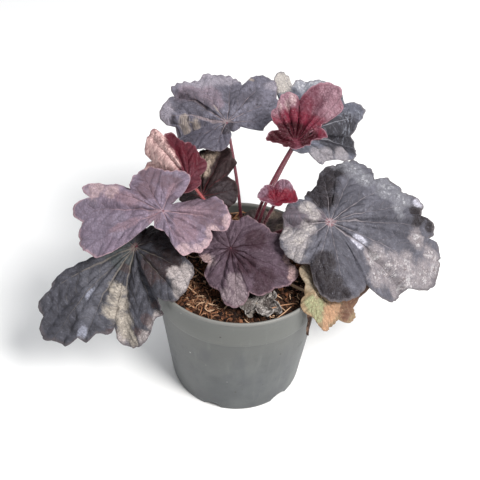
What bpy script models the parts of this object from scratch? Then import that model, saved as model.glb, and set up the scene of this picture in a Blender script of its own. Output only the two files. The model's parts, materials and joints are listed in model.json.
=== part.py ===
# Heuchera plant in its round nursery pot: pot, filling of potting compost
# and thirteen leaves, each one a lobed blade joined to its own stalk.
# Lengths in the tables are millimetres; the part is built in metres, +Z up,
# with the pot standing on z = 0 and its axis on x = y = 0.
import bmesh
import bpy
import math
import numpy as np
from mathutils import Matrix, Vector, noise

MM = 0.001

# Driving sizes of the pot
POT_HEIGHT = 103.4
RIM_RADIUS = 60.0
BASE_RADIUS = 47.2
COLLAR_BOTTOM = 78.5
WALL = 1.3
FLOOR = 1.6
POT_STEPS = 60
NOTCHES = 6

# Driving sizes of the compost
COMPOST_TOP = 95.4
COMPOST_LUMPS = 1.1
COMPOST_GAP = 0.35
COMPOST_STEPS = 40

# Driving sizes of the leaves
BLADE_THICK = 0.8
STALK_RADIUS = 1.0
STALK_FOOT_RADIUS = 1.25
STALK_SIDES = 6
STALK_BOTTOM = 84.5
STALK_STRAIGHT = 97.5
HOLE_RADIUS = 1.75
HOLE_BOTTOM = 83.8
LOBE_ROUNDING = 2.2
ANGLE_STEP = 11.0
BLADE_RINGS = (0.16, 0.45, 0.74, 1.0)

# Leaves. at: where the stalk meets the blade; face: heading, pitch and roll
# of the blade in degrees; arch: how much each lobe bends down along its
# length; foot: where the stalk leaves the compost; rise: height its upward
# course aims at; bend: a point the stalk leans to where it isn't straight;
# rim: going round the blade from one side of the slit to the other, notch
# and lobe tip in turn, each with its angle, length and slope in degrees.
LEAVES = {
    # blue-grey leaf standing highest at the back left
    "leaf_upper_left": {
        "at": (-12, 62, 170), "face": (95, 0, 0), "arch": 30,
        "foot": (0.5, 30), "rise": 125,
        "rim": [
            (-118, 10, -2), (-108, 26, -2), (-92, 30, 3), (-62, 43, 4), (-49, 49, 7), (-32, 59, 6),
            (-19, 39, 8),
            (5, 54, 6), (23, 46, 11), (51, 49, 12), (54, 44, 6), (73, 49, -4), (76, 37, -13), (79, 38, -26),
            (118, 30, -26), (146, 23, -29), (203, 6, -29),
        ],
    },
    # blue-grey leaf with bleached patches, back right
    "leaf_upper_right": {
        "at": (39, 77, 150), "face": (50, 0, 10), "arch": 20,
        "foot": (11, 26.5), "rise": 124,
        "rim": [
            (-94, 12, -30), (-72, 26, -30), (-53, 35, -23), (-29, 53, -20), (-25, 43, -10), (-22, 49, -4),
            (-20, 53, 4), (-16, 59, 8), (-4, 47, 13), (21, 56, 14), (31, 51, 16), (39, 52, 14),
            (51, 42, 18),
            (58, 56, 18), (72, 39, 18), (75, 27, 14), (93, 12, 14),
        ],
    },
    # young cupped leaf, burgundy pink
    "leaf_young_top": {
        "at": (33, 35, 175), "face": (60, 25, 0), "arch": -20,
        "foot": (7, 21.5), "rise": 125,
        "rim": [
            (-94, 7, -2), (-72, 10, -2), (-57, 14, -2), (-49, 21, -6), (-32, 19, 0), (-26, 40, 2),
            (-23, 40, 11),
            (-17, 45, 16), (16, 26, 29), (32, 32, 38), (48, 30, 40), (65, 25, 38), (88, 13, 32),
            (120, 19, 22),
            (134, 13, 24), (145, 9, 22), (169, 7, 22),
        ],
    },
    # smallest young leaf, crimson
    "leaf_young_small": {
        "at": (22, 3, 150), "face": (60, 10, 0), "arch": -10,
        "foot": (12.5, 18.5), "rise": 115,
        "rim": [
            (-57, 4, -10), (-40, 15, -10), (-25, 14, 15), (-6, 16, 36), (39, 10, 41), (74, 13, 42),
            (102, 13, 36),
            (112, 13, 25), (148, 5, 25),
        ],
    },
    # largest leaf, spread over the right side
    "leaf_right": {
        "at": (57, 0, 138), "face": (5, -14, 14), "arch": 30,
        "foot": (9.5, 13), "rise": 116,
        "rim": [
            (-176, 30, -26), (-143, 36, -26), (-110, 31, -22), (-75, 52, -24), (-45, 48, -23),
            (-24, 74, -26),
            (-21, 73, -19), (-8, 93, -16), (0, 92, -13), (5, 95, -14), (8, 81, -9), (13, 87, -8),
            (16, 70, -1),
            (21, 74, 2), (31, 63, 4), (44, 65, 2), (50, 52, 3), (66, 63, 0), (74, 57, 0),
            (80, 54, -4), (98, 37, -5),
            (112, 29, -10), (132, 22, -9), (153, 30, -12), (174, 31, -12),
        ],
    },
    # plum leaf over the front of the pot
    "leaf_front": {
        "at": (-6, -10, 121), "face": (-80, -35, 0), "arch": 25,
        "foot": (0.5, 13), "rise": 106,
        "rim": [
            (-187, 19, 0), (-172, 24, 0), (-146, 17, 0), (-89, 21, -4), (-61, 18, 3), (-26, 29, 6),
            (-16, 36, 11),
            (-3, 41, 12), (14, 33, 13), (35, 39, 10), (46, 43, 9), (63, 47, 4), (71, 39, 4),
            (95, 36, 0), (107, 29, 3),
            (145, 25, 2), (159, 19, 2),
        ],
    },
    # mauve leaf over the left side
    "leaf_left": {
        "at": (-49, -10, 150), "face": (180, -5, 0), "arch": 25,
        "foot": (-9.5, 13), "rise": 116,
        "rim": [
            (-141, 18, 12), (-115, 34, 12), (-90, 31, 17), (-65, 35, 18), (-34, 27, 16),
            (-31, 39, 10), (-25, 47, 11),
            (-18, 56, 8), (-15, 47, 3), (-10, 62, -6), (-4, 54, -10), (7, 58, -18), (17, 56, -18),
            (20, 53, -22),
            (42, 7, -22), (94, 13, -26), (109, 23, -26), (122, 32, -30), (137, 36, -26), (154, 36, -26),
            (168, 32, -20), (177, 43, -18), (185, 43, -12), (202, 42, -10), (215, 37, -10),
        ],
    },
    # young pink and red leaf behind the mauve one
    "leaf_young_red": {
        "at": (-35, 20, 152), "face": (130, 10, 0), "arch": 10,
        "foot": (-11, 18.5), "rise": 118,
        "rim": [
            (-100, 8, 12), (-62, 20, 12), (-46, 25, 15), (-32, 30, 14), (-22, 29, 16), (-14, 38, 14),
            (-5, 36, 16),
            (-2, 44, 14), (5, 45, 6), (8, 42, -6), (11, 34, -13), (14, 41, -24), (41, 15, -24),
        ],
    },
    # dark brown-green leaf at the back left
    "leaf_dark_back": {
        "at": (-27, 24, 136), "face": (80, 34, 0), "arch": 20,
        "foot": (-5.5, 24.5), "rise": 110,
        "rim": [
            (-102, 20, -4), (-68, 25, -4), (-42, 22, 2), (-37, 33, 4), (-26, 35, 3), (-12, 39, -2),
            (-3, 34, -1),
            (8, 35, -4), (18, 29, -6), (35, 29, -12), (58, 20, -12), (90, 17, -16), (125, 9, -16),
        ],
    },
    # slate leaf hanging outside the pot on the left
    "leaf_low_left": {
        "at": (-68, -9, 118), "face": (205, -32, 0), "arch": 30,
        "foot": (-6.5, 8.5), "rise": 112, "bend": (-48, -6, 122),
        "rim": [
            (-141, 13, 16), (-76, 16, 16), (-45, 17, 17), (-22, 26, 14), (-12, 42, 14), (-9, 61, 10),
            (-6, 69, 8),
            (-3, 78, 2), (0, 78, 0), (3, 88, -6), (8, 85, -6), (13, 81, -10), (18, 71, -10), (21, 71, -14),
            (24, 63, -15), (27, 61, -20), (30, 55, -24), (39, 67, -32), (63, 50, -33), (71, 48, -38),
            (82, 35, -22),
            (97, 48, -20), (106, 50, -16), (120, 47, -16), (131, 37, -9), (156, 25, -6), (208, 18, -6),
        ],
    },
    # fading leaf lying over the rim on the right
    "leaf_fading": {
        "at": (49, -36, 109), "face": (-20, -20, 0), "arch": 30,
        "foot": (5.5, 8), "rise": 100, "bend": (36, -24, 97),
        "rim": [
            (-143, 7, -25), (-78, 15, -25), (-52, 19, -30), (-11, 27, -40), (11, 27, -33), (43, 49, -30),
            (46, 47, -19), (51, 56, -12), (61, 48, -7), (77, 37, -6), (104, 21, 3), (139, 21, 8),
            (168, 9, 8),
        ],
    },
    # withered leaf curled up on the compost
    "leaf_withered": {
        "at": (12, -38, 100.2), "face": (-20, 0, 0), "arch": 10,
        "foot": (12, -38), "rise": 98.5,
        "rim": [
            (-165, 9, 4), (-140, 12, 10), (-118, 9, -4), (-92, 13, -8), (-70, 9, 8), (-45, 16, 12),
            (-22, 10, -2), (0, 17, -8), (24, 10, 6), (48, 14, 14), (72, 9, 0), (98, 12, -6), (120, 8, 6),
            (142, 11, 8), (165, 8, 4),
        ],
    },
    # small dull leaf low down at the back
    "leaf_small_back": {
        "at": (16, 35, 102), "face": (60, 0, 0), "arch": 15,
        "foot": (6.5, 33), "rise": 100,
        "rim": [
            (-93, 13, 0), (-54, 18, 0), (-25, 20, 4), (0, 19, 4), (17, 14, 6), (51, 19, 4),
            (77, 19, 4), (98, 17, 0),
            (146, 9, 0),
        ],
    },
}

COLOURS = {
    "pot": (0.20, 0.22, 0.21, 0.48),
    "soil": (0.060, 0.038, 0.025, 0.95),
    "leaf_upper_left": (0.165, 0.165, 0.200, 0.55),
    "leaf_upper_right": (0.260, 0.270, 0.300, 0.55),
    "leaf_young_top": (0.270, 0.090, 0.130, 0.50),
    "leaf_young_small": (0.190, 0.030, 0.060, 0.50),
    "leaf_right": (0.200, 0.195, 0.220, 0.55),
    "leaf_front": (0.125, 0.085, 0.110, 0.55),
    "leaf_left": (0.260, 0.190, 0.235, 0.55),
    "leaf_young_red": (0.300, 0.130, 0.140, 0.50),
    "leaf_dark_back": (0.065, 0.050, 0.052, 0.60),
    "leaf_low_left": (0.100, 0.100, 0.115, 0.55),
    "leaf_fading": (0.360, 0.230, 0.130, 0.65),
    "leaf_withered": (0.330, 0.310, 0.290, 0.80),
    "leaf_small_back": (0.150, 0.120, 0.140, 0.60),
}


def clear_scene():
    for item in list(bpy.data.objects):
        bpy.data.objects.remove(item, do_unlink=True)


def surface(name):
    red, green, blue, rough = COLOURS[name]
    mat = bpy.data.materials.new(name + "_surface")
    mat.use_nodes = True
    shader = mat.node_tree.nodes["Principled BSDF"]
    shader.inputs["Base Color"].default_value = (red, green, blue, 1.0)
    shader.inputs["Roughness"].default_value = rough
    shader.inputs["Metallic"].default_value = 0.0
    return mat


def add_object(name, bm):
    bmesh.ops.recalc_face_normals(bm, faces=bm.faces)
    mesh = bpy.data.meshes.new(name)
    bm.to_mesh(mesh)
    bm.free()
    item = bpy.data.objects.new(name, mesh)
    bpy.context.scene.collection.objects.link(item)
    return item


def apply_boolean(item, other, operation):
    mod = item.modifiers.new("cut", "BOOLEAN")
    mod.operation = operation
    mod.solver = "EXACT"
    mod.object = other
    bpy.context.view_layer.update()
    graph = bpy.context.evaluated_depsgraph_get()
    mesh = bpy.data.meshes.new_from_object(item.evaluated_get(graph))
    item.modifiers.clear()
    item.data = mesh
    bpy.data.objects.remove(other, do_unlink=True)


def finish(item, smooth):
    item.data.materials.clear()
    item.data.materials.append(surface(item.name))
    if smooth:
        item.data.shade_smooth()
        item.data.set_sharp_from_angle(angle=math.radians(40))


def turned(profile, steps):
    """Body turned about Z from (radius, height) points that start and end on the axis."""
    bm = bmesh.new()
    rings = []
    for radius, height in profile:
        if radius == 0.0:
            rings.append([bm.verts.new((0.0, 0.0, height * MM))])
            continue
        ring = []
        for k in range(steps):
            a = 2 * math.pi * k / steps
            ring.append(bm.verts.new((radius * math.cos(a) * MM, radius * math.sin(a) * MM, height * MM)))
        rings.append(ring)
    for low, high in zip(rings, rings[1:]):
        for k in range(steps):
            n = (k + 1) % steps
            if len(low) == 1:
                bm.faces.new((low[0], high[k], high[n]))
            elif len(high) == 1:
                bm.faces.new((low[k], high[0], low[n]))
            else:
                bm.faces.new((low[k], high[k], high[n], low[n]))
    return bm


def inner_radius(height):
    """Inside radius of the pot wall at a height above the floor."""
    low = BASE_RADIUS - 0.3
    high = RIM_RADIUS - 4.0
    outer = low + (high - low) * height / COLLAR_BOTTOM
    if height > COLLAR_BOTTOM + 1.5:
        part = (height - COLLAR_BOTTOM - 1.5) / (POT_HEIGHT - COLLAR_BOTTOM - 3.0)
        outer = RIM_RADIUS - 2.6 + 1.8 * part
    return outer - WALL


# Round pot, moulded in one piece: tapered wall, taller collar with a rolled
# lip, flat floor with arched drain notches cut through its lower edge.
def make_pot():
    r = RIM_RADIUS
    h = POT_HEIGHT
    profile = [
        (0.0, 0.0),
        (BASE_RADIUS - 0.6, 0.0),
        (BASE_RADIUS, 0.7),
        (r - 4.0, COLLAR_BOTTOM),
        (r - 2.6, COLLAR_BOTTOM + 1.0),
        (r - 0.8, h - 2.2),
        (r, h - 1.8),
        (r, h - 0.5),
        (r - 0.5, h),
        (r - 1.5, h),
        (r - 2.0, h - 0.5),
        (inner_radius(h - 1.8), h - 1.8),
        (inner_radius(COLLAR_BOTTOM + 1.6), COLLAR_BOTTOM + 1.6),
        (inner_radius(COLLAR_BOTTOM), COLLAR_BOTTOM),
        (inner_radius(FLOOR + 1.0), FLOOR + 1.0),
        (inner_radius(FLOOR) - 1.0, FLOOR),
        (0.0, FLOOR),
    ]
    pot = add_object("pot", turned(profile, POT_STEPS))
    bm = bmesh.new()
    for k in range(NOTCHES):
        a = math.radians(-48 + 360 / NOTCHES * k)
        place = Matrix.Translation(Vector((math.cos(a), math.sin(a), 0.0)) * (BASE_RADIUS - 1.0) * MM)
        place = Matrix.Translation((0.0, 0.0, -3.2 * MM)) @ place
        turn = Matrix.Rotation(a, 4, "Z") @ Matrix.Rotation(math.radians(90), 4, "Y")
        bmesh.ops.create_cone(
            bm, cap_ends=True, segments=20, radius1=8.0 * MM, radius2=8.0 * MM,
            depth=8.0 * MM, matrix=place @ turn,
        )
    cutter = add_object("pot_notches", bm)
    cutter.hide_render = True
    cutter.display_type = "WIRE"
    apply_boolean(pot, cutter, "DIFFERENCE")
    finish(pot, True)


# Potting compost filling the pot to just below the rim, lumpy on top, with
# a plain hole for the foot of every stalk.
def make_soil():
    gap = COMPOST_GAP
    top = COMPOST_TOP
    profile = [(0.0, FLOOR + gap), (inner_radius(FLOOR) - 1.0 - gap, FLOOR + gap)]
    profile.append((inner_radius(FLOOR + 1.0) - gap, FLOOR + 1.0 + gap))
    profile.append((inner_radius(COLLAR_BOTTOM) - gap, COLLAR_BOTTOM))
    profile.append((inner_radius(COLLAR_BOTTOM + 1.6) - gap, COLLAR_BOTTOM + 2.4))
    profile.append((inner_radius(top - 0.6) - gap, top - 0.6))
    edge = inner_radius(top) - gap
    for part in (0.985, 0.90, 0.78, 0.65, 0.52, 0.39, 0.26, 0.13):
        profile.append((edge * part, top))
    profile.append((0.0, top))
    bm = turned(profile, COMPOST_STEPS)
    for v in bm.verts:
        if v.co.z < (top - 0.1) * MM:
            continue
        spot = Vector((v.co.x, v.co.y, 0.0)) / (9.0 * MM)
        lump = noise.noise(spot + Vector((3.1, 7.7, 0.4)))
        lump += 0.5 * noise.noise(spot * 2.3 + Vector((9.2, 1.3, 5.0)))
        rise = 0.6 * math.exp(-((v.co.x / MM - 2) ** 2 + (v.co.y / MM - 17) ** 2) / 400.0)
        v.co.z += max(-0.9, min(0.9, lump * COMPOST_LUMPS)) * MM + rise * MM
    soil = add_object("soil", bm)
    bm = bmesh.new()
    for spec in LEAVES.values():
        x, y = spec["foot"]
        middle = (HOLE_BOTTOM + 110.0) / 2
        bmesh.ops.create_cone(
            bm, cap_ends=True, segments=10, radius1=HOLE_RADIUS * MM, radius2=HOLE_RADIUS * MM,
            depth=(110.0 - HOLE_BOTTOM) * MM,
            matrix=Matrix.Translation((x * MM, y * MM, middle * MM)),
        )
    cutter = add_object("soil_holes", bm)
    cutter.hide_render = True
    cutter.display_type = "WIRE"
    apply_boolean(soil, cutter, "DIFFERENCE")
    finish(soil, True)


def leaf_frame(heading, pitch, roll):
    """Forward, sideways and upward direction of a blade."""
    h, p, r = (math.radians(v) for v in (heading, pitch, roll))
    forward = np.array((math.cos(h) * math.cos(p), math.sin(h) * math.cos(p), math.sin(p)))
    side = np.array((-math.sin(h), math.cos(h), 0.0))
    up = np.cross(forward, side)
    side_rolled = side * math.cos(r) + up * math.sin(r)
    up_rolled = up * math.cos(r) - side * math.sin(r)
    return forward, side_rolled, up_rolled


def blade_angles(rim):
    """Angles round the blade: every notch and lobe tip, and steps between them."""
    angles = [float(rim[0][0])]
    for (low, _, _), (high, _, _) in zip(rim, rim[1:]):
        parts = max(1, round((high - low) / ANGLE_STEP))
        angles += [low + (high - low) * (k + 1) / parts for k in range(parts)]
    return np.array(angles)


def blade_outline(rim, angles):
    """Length and slope of the blade at each angle; lobe tips are rounded, notches are sharp."""
    length = np.zeros(len(angles))
    slope = np.zeros(len(angles))
    knots = [knot[0] for knot in rim]
    for j, angle in enumerate(angles):
        k = int(min(len(rim) - 2, max(0, np.searchsorted(knots, angle, side="right") - 1)))
        (a0, r0, e0), (a1, r1, e1) = rim[k], rim[k + 1]
        t = (angle - a0) / (a1 - a0)
        if k % 2 == 0:
            length[j] = r1 + (r0 - r1) * (1 - t) ** LOBE_ROUNDING
        else:
            length[j] = r0 + (r1 - r0) * t ** LOBE_ROUNDING
        u = t * t * (3 - 2 * t)
        slope[j] = e0 * (1 - u) + e1 * u
    return length, slope


def blade_points(spec, angles):
    """Middle surface of the blade, one row of points for each ring."""
    forward, side, up = leaf_frame(*spec["face"])
    length, slope = blade_outline(spec["rim"], angles)
    turn = np.radians(angles)
    out = np.zeros(len(angles))
    lift = np.zeros(len(angles))
    rows = []
    fine = 24
    for k in range(fine):
        bend = np.radians(slope + spec["arch"] * (0.5 - (k + 0.5) / fine))
        out = out + length / fine * np.cos(bend)
        lift = lift + length / fine * np.sin(bend)
        for ring in BLADE_RINGS:
            if abs((k + 1) / fine - ring) <= 0.5 / fine:
                row = np.array(spec["at"], float)
                row = row + np.outer(out * np.cos(turn), forward) + np.outer(out * np.sin(turn), side)
                rows.append(row + np.outer(lift, up))
                break
    return np.array(rows), up


def blade_normals(rows, centre, up):
    """Direction across the blade at each point, from its neighbours."""
    full = np.concatenate((np.repeat(centre[None, None, :], rows.shape[1], axis=1), rows))
    along = np.gradient(full, axis=0)[1:]
    across = np.gradient(rows, axis=1)
    normal = np.cross(along, across)
    normal /= np.linalg.norm(normal, axis=2)[:, :, None]
    return normal * np.where(normal @ up < 0, -1.0, 1.0)[:, :, None]


def make_blade(name, spec):
    """Thin closed blade with the same triangles on its upper and lower face."""
    angles = blade_angles(spec["rim"])
    rows, up = blade_points(spec, angles)
    centre = np.array(spec["at"], float)
    normals = blade_normals(rows, centre, up)
    bm = bmesh.new()
    faces = []
    for side in (0.5, -0.5):
        middle = bm.verts.new(Vector(centre + up * BLADE_THICK * side) * MM)
        grid = []
        for row, normal in zip(rows, normals):
            points = row + normal * BLADE_THICK * side
            grid.append([bm.verts.new(Vector(p) * MM) for p in points])
        for j in range(len(angles) - 1):
            bm.faces.new((middle, grid[0][j], grid[0][j + 1]))
            for low, high in zip(grid, grid[1:]):
                bm.faces.new((low[j], high[j], high[j + 1]))
                bm.faces.new((low[j], high[j + 1], low[j + 1]))
        faces.append((middle, grid))
    (mid_a, a), (mid_b, b) = faces
    edge_a = [mid_a] + [row[0] for row in a] + a[-1][1:-1] + [row[-1] for row in reversed(a)]
    edge_b = [mid_b] + [row[0] for row in b] + b[-1][1:-1] + [row[-1] for row in reversed(b)]
    for k in range(len(edge_a)):
        n = (k + 1) % len(edge_a)
        bm.faces.new((edge_a[k], edge_a[n], edge_b[n]))
        bm.faces.new((edge_a[k], edge_b[n], edge_b[k]))
    return add_object(name, bm)


def stalk_path(spec):
    """Course of the stalk from its foot in the compost to just above the blade."""
    up = leaf_frame(*spec["face"])[2]
    head = np.array(spec["at"], float)
    x, y = spec["foot"]
    start = np.array((x, y, STALK_STRAIGHT))
    first = np.array((x, y, spec["rise"]))
    second = head + 0.35 * (first - head)
    if "bend" in spec:
        second = np.array(spec["bend"], float)
    points = [np.array((x, y, STALK_BOTTOM)), start]
    for k in range(1, 9):
        t = k / 8
        points.append(
            start * (1 - t) ** 3 + 3 * first * t * (1 - t) ** 2 + 3 * second * t * t * (1 - t) + head * t ** 3
        )
    points[-1] = head + up * 0.9
    return points


def make_stalk(spec):
    points = stalk_path(spec)
    bm = bmesh.new()
    rings = []
    side = np.array((1.0, 0.0, 0.0))
    for k, point in enumerate(points):
        before = points[max(0, k - 1)]
        after = points[min(len(points) - 1, k + 1)]
        along = (after - before) / np.linalg.norm(after - before)
        side = side - along * (side @ along)
        side /= np.linalg.norm(side)
        other = np.cross(along, side)
        radius = STALK_FOOT_RADIUS if k < 2 else STALK_RADIUS
        ring = []
        for j in range(STALK_SIDES):
            a = 2 * math.pi * j / STALK_SIDES
            spot = point + radius * (side * math.cos(a) + other * math.sin(a))
            ring.append(bm.verts.new(Vector(spot) * MM))
        rings.append(ring)
    for low, high in zip(rings, rings[1:]):
        for j in range(STALK_SIDES):
            n = (j + 1) % STALK_SIDES
            bm.faces.new((low[j], low[n], high[n], high[j]))
    bm.faces.new(rings[0])
    bm.faces.new(rings[-1])
    return add_object("stalk", bm)


# Each leaf is one piece: its blade with the stalk joined to it.
def make_leaf(name, spec):
    blade = make_blade(name, spec)
    apply_boolean(blade, make_stalk(spec), "UNION")
    finish(blade, True)


clear_scene()
make_pot()
make_soil()
for leaf_name, leaf_spec in LEAVES.items():
    make_leaf(leaf_name, leaf_spec)
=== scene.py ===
import json
import math

import bpy
import numpy as np
from mathutils import Matrix, Vector, noise

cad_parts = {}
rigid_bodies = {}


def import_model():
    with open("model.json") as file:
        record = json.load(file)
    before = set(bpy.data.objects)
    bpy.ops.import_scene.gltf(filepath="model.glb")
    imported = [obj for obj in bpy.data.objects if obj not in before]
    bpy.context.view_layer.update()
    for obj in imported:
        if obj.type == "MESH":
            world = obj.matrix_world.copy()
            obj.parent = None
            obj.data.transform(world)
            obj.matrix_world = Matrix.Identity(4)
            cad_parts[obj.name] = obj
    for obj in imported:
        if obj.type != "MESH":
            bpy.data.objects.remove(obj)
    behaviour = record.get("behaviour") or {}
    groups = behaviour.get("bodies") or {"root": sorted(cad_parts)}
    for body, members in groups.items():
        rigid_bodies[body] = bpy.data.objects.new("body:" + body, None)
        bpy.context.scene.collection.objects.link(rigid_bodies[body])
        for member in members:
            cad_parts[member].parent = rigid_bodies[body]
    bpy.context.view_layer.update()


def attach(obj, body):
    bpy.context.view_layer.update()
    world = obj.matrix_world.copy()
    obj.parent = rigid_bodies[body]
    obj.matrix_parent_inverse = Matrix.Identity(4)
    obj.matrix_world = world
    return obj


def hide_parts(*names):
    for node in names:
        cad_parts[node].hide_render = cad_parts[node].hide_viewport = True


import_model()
MM = 0.001


# The pot: a round nursery pot of grey plastic, injection moulded in one
# piece, with a taller collar under a rolled lip and arched drain notches in
# its foot. It stands under the whole plant and everything else is in it.
class Wire:
    """A material socket that takes part in plain sums, so masks read as formulas."""

    def __init__(self, socket):
        self.socket = socket
        self.tree = socket.id_data

    def sum(self, operation, *terms):
        node = self.tree.nodes.new("ShaderNodeMath")
        node.operation = operation
        for place, term in zip(node.inputs, terms):
            if isinstance(term, Wire):
                self.tree.links.new(term.socket, place)
            else:
                place.default_value = term
        return Wire(node.outputs[0])

    def __add__(self, other):
        return self.sum("ADD", self, other)

    def __radd__(self, other):
        return self.sum("ADD", other, self)

    def __sub__(self, other):
        return self.sum("SUBTRACT", self, other)

    def __rsub__(self, other):
        return self.sum("SUBTRACT", other, self)

    def __mul__(self, other):
        return self.sum("MULTIPLY", self, other)

    def __rmul__(self, other):
        return self.sum("MULTIPLY", other, self)

    def __truediv__(self, other):
        return self.sum("DIVIDE", self, other)

    def __pow__(self, other):
        return self.sum("POWER", self, other)

    def abs(self):
        return self.sum("ABSOLUTE", self)

    def fract(self):
        return self.sum("FRACT", self)

    def over(self, other):
        return self.sum("GREATER_THAN", self, other)

    def high(self, other):
        return self.sum("MAXIMUM", self, other)

    def low(self, other):
        return self.sum("MINIMUM", self, other)

    def step(self, start, end):
        """0 before start and 1 past end, with a soft slope between."""
        node = self.tree.nodes.new("ShaderNodeMapRange")
        node.interpolation_type = "SMOOTHSTEP"
        for name, term in (("Value", self), ("From Min", start), ("From Max", end)):
            if isinstance(term, Wire):
                self.tree.links.new(term.socket, node.inputs[name])
            else:
                node.inputs[name].default_value = term
        return Wire(node.outputs[0])


class Finish:
    """A material in the making: its nodes come from add, its colours from blend."""

    def __init__(self, name, roughness=0.5, specular=0.5):
        self.material = bpy.data.materials.new(name)
        self.material.use_nodes = True
        self.tree = self.material.node_tree
        self.shader = self.tree.nodes["Principled BSDF"]
        self.shader.inputs["Roughness"].default_value = roughness
        self.shader.inputs["Specular IOR Level"].default_value = specular

    def add(self, kind, settings=None, inputs=None, output=0):
        node = self.tree.nodes.new(kind)
        for name, value in (settings or {}).items():
            setattr(node, name, value)
        for name, value in (inputs or {}).items():
            if isinstance(value, Wire):
                self.tree.links.new(value.socket, node.inputs[name])
            else:
                node.inputs[name].default_value = value
        return Wire(node.outputs[output])

    def place(self):
        """Where a point lies on the part, in metres."""
        return self.add("ShaderNodeTexCoord", output="Object")

    def part(self, vector, axis):
        """One axis of a vector: 0, 1 or 2."""
        return self.add("ShaderNodeSeparateXYZ", None, {0: vector}, axis)

    def move(self, vector, by):
        return self.add("ShaderNodeVectorMath", {"operation": "ADD"}, {0: vector, 1: by})

    def stretch(self, vector, by):
        """The vector times by, so that noise read at it is drawn out where by is small."""
        return self.add("ShaderNodeVectorMath", {"operation": "MULTIPLY"}, {0: vector, 1: by})

    def attribute(self, name):
        """The number that a piece holds under this name."""
        return self.add("ShaderNodeAttribute", {"attribute_name": name}, None, 2)

    def noise(self, where, size, detail=3.0, rough=0.55, shift=0.0):
        """Cloudy noise from 0 to 1 with features of about the given size in metres."""
        spot = self.move(where, (shift, shift * 0.7, shift * 0.3))
        return self.add(
            "ShaderNodeTexNoise", None,
            {"Vector": spot, "Scale": 1.0 / size, "Detail": detail, "Roughness": rough},
        )

    def cells(self, where, size):
        """Distance from the nearest of many scattered points, in cells of about the given size."""
        return self.add("ShaderNodeTexVoronoi", None, {"Vector": where, "Scale": 1.0 / size})

    def blend(self, under, over, mask):
        """Colour over laid on colour under where the mask is 1."""
        node = self.tree.nodes.new("ShaderNodeMix")
        node.data_type = "RGBA"
        for place, value in ((0, mask), (6, under), (7, over)):
            if isinstance(value, Wire):
                self.tree.links.new(value.socket, node.inputs[place])
            elif isinstance(value, tuple):
                node.inputs[place].default_value = (*value, 1.0)
            else:
                node.inputs[place].default_value = value
        return Wire(node.outputs[2])

    def feed(self, colour=None, roughness=None, height=None, depth=0.0005, strength=1.0):
        if colour is not None:
            self.tree.links.new(colour.socket, self.shader.inputs["Base Color"])
        if roughness is not None:
            self.tree.links.new(roughness.socket, self.shader.inputs["Roughness"])
        if height is not None:
            bump = self.add(
                "ShaderNodeBump", None, {"Height": height, "Distance": depth, "Strength": strength},
            )
            self.tree.links.new(bump.socket, self.shader.inputs["Normal"])
        return self.material


COLLAR_STEP = (0.0785, 0.0805)
LIP_START = (0.1012, 0.1022)
INNER_FOOT = 0.0463
INNER_SLOPE = 0.1135


def pot_finish():
    """Grey plastic, dusty under the lip, with run marks, splashes and specks on its wall."""
    plastic = Finish("grey_pot_plastic", specular=0.45)
    spot = plastic.place()
    x, y, z = (plastic.part(spot, axis) for axis in range(3))
    cloud = plastic.noise(spot, 0.030, 4.0)
    grain = plastic.noise(spot, 0.0016, 2.0, shift=3.0)
    runs = plastic.noise(plastic.stretch(spot, (1.0, 1.0, 0.12)), 0.0045, 3.0, shift=7.0)
    upright = plastic.stretch(spot, (1.0, 1.0, 0.45))
    colour = plastic.blend((0.060, 0.066, 0.070), (0.096, 0.103, 0.105), cloud.step(0.35, 0.7))
    # the wall greys from a warm tone under the collar to a cooler one at the foot
    colour = plastic.blend(colour, (0.108, 0.110, 0.098), z.step(0.020, 0.085) * (0.25 + cloud * 0.5))
    patchy = plastic.noise(upright, 0.016, 3.0, 0.6, 31.0).step(0.46, 0.70)
    colour = plastic.blend(colour, (0.056, 0.061, 0.070), patchy * (1.0 - z.step(0.055, 0.080)) * 0.6)
    # the collar is a little warmer than the wall below it, and painted a little lighter as painted light on
    # its step
    colour = plastic.blend(colour, (0.112, 0.117, 0.107), z.step(*COLLAR_STEP) * 0.5)
    colour = plastic.blend(colour, (0.17, 0.178, 0.175), (runs.step(0.55, 0.85) * 0.30))
    # soil dust near the rim and splashed dirt on the lower wall
    dust = plastic.noise(spot, 0.012, 5.0, 0.7, 11.0).step(0.52, 0.75)
    colour = plastic.blend(colour, (0.21, 0.20, 0.18), dust * z.step(0.060, 0.103) * 0.35)
    dirt = plastic.noise(spot, 0.0075, 5.0, 0.7, 15.0).step(0.60, 0.74)
    colour = plastic.blend(colour, (0.085, 0.078, 0.066), dirt * (1.0 - z.step(0.004, 0.040)) * 0.55)
    # dark and pale specks, in a few places only
    dark = plastic.cells(spot, 0.0052)
    dark_here = plastic.noise(spot, 0.016, 2.0, shift=21.0).step(0.58, 0.66)
    colour = plastic.blend(colour, (0.035, 0.028, 0.022), (1.0 - dark.step(0.10, 0.18)) * dark_here * 0.9)
    pale = plastic.cells(plastic.move(spot, (0.3, 0.1, 0.2)), 0.0065)
    pale_here = plastic.noise(spot, 0.018, 2.0, shift=27.0).step(0.60, 0.68)
    colour = plastic.blend(colour, (0.50, 0.50, 0.48), (1.0 - pale.step(0.07, 0.14)) * pale_here * 0.6)
    # the rubbed lip shows paler plastic
    lip = z.step(*LIP_START)
    colour = plastic.blend(colour, (0.215, 0.208, 0.195), lip * 0.6)
    # inside the pot the wall is damp and stained by compost
    radius = (x * x + y * y) ** 0.5
    inside = 1.0 - (radius - (z * INNER_SLOPE + INNER_FOOT)).step(-0.0006, 0.0006)
    inside = inside * (1.0 - lip)
    colour = plastic.blend(colour, (0.050, 0.052, 0.046), inside * 0.9)
    rough = 0.34 + cloud * 0.14 + dust * 0.12 + grain * 0.06
    height = grain * 0.25 + runs * 0.25 + dirt * 0.4
    return plastic.feed(colour, rough, height, depth=0.00025, strength=0.55)


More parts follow.
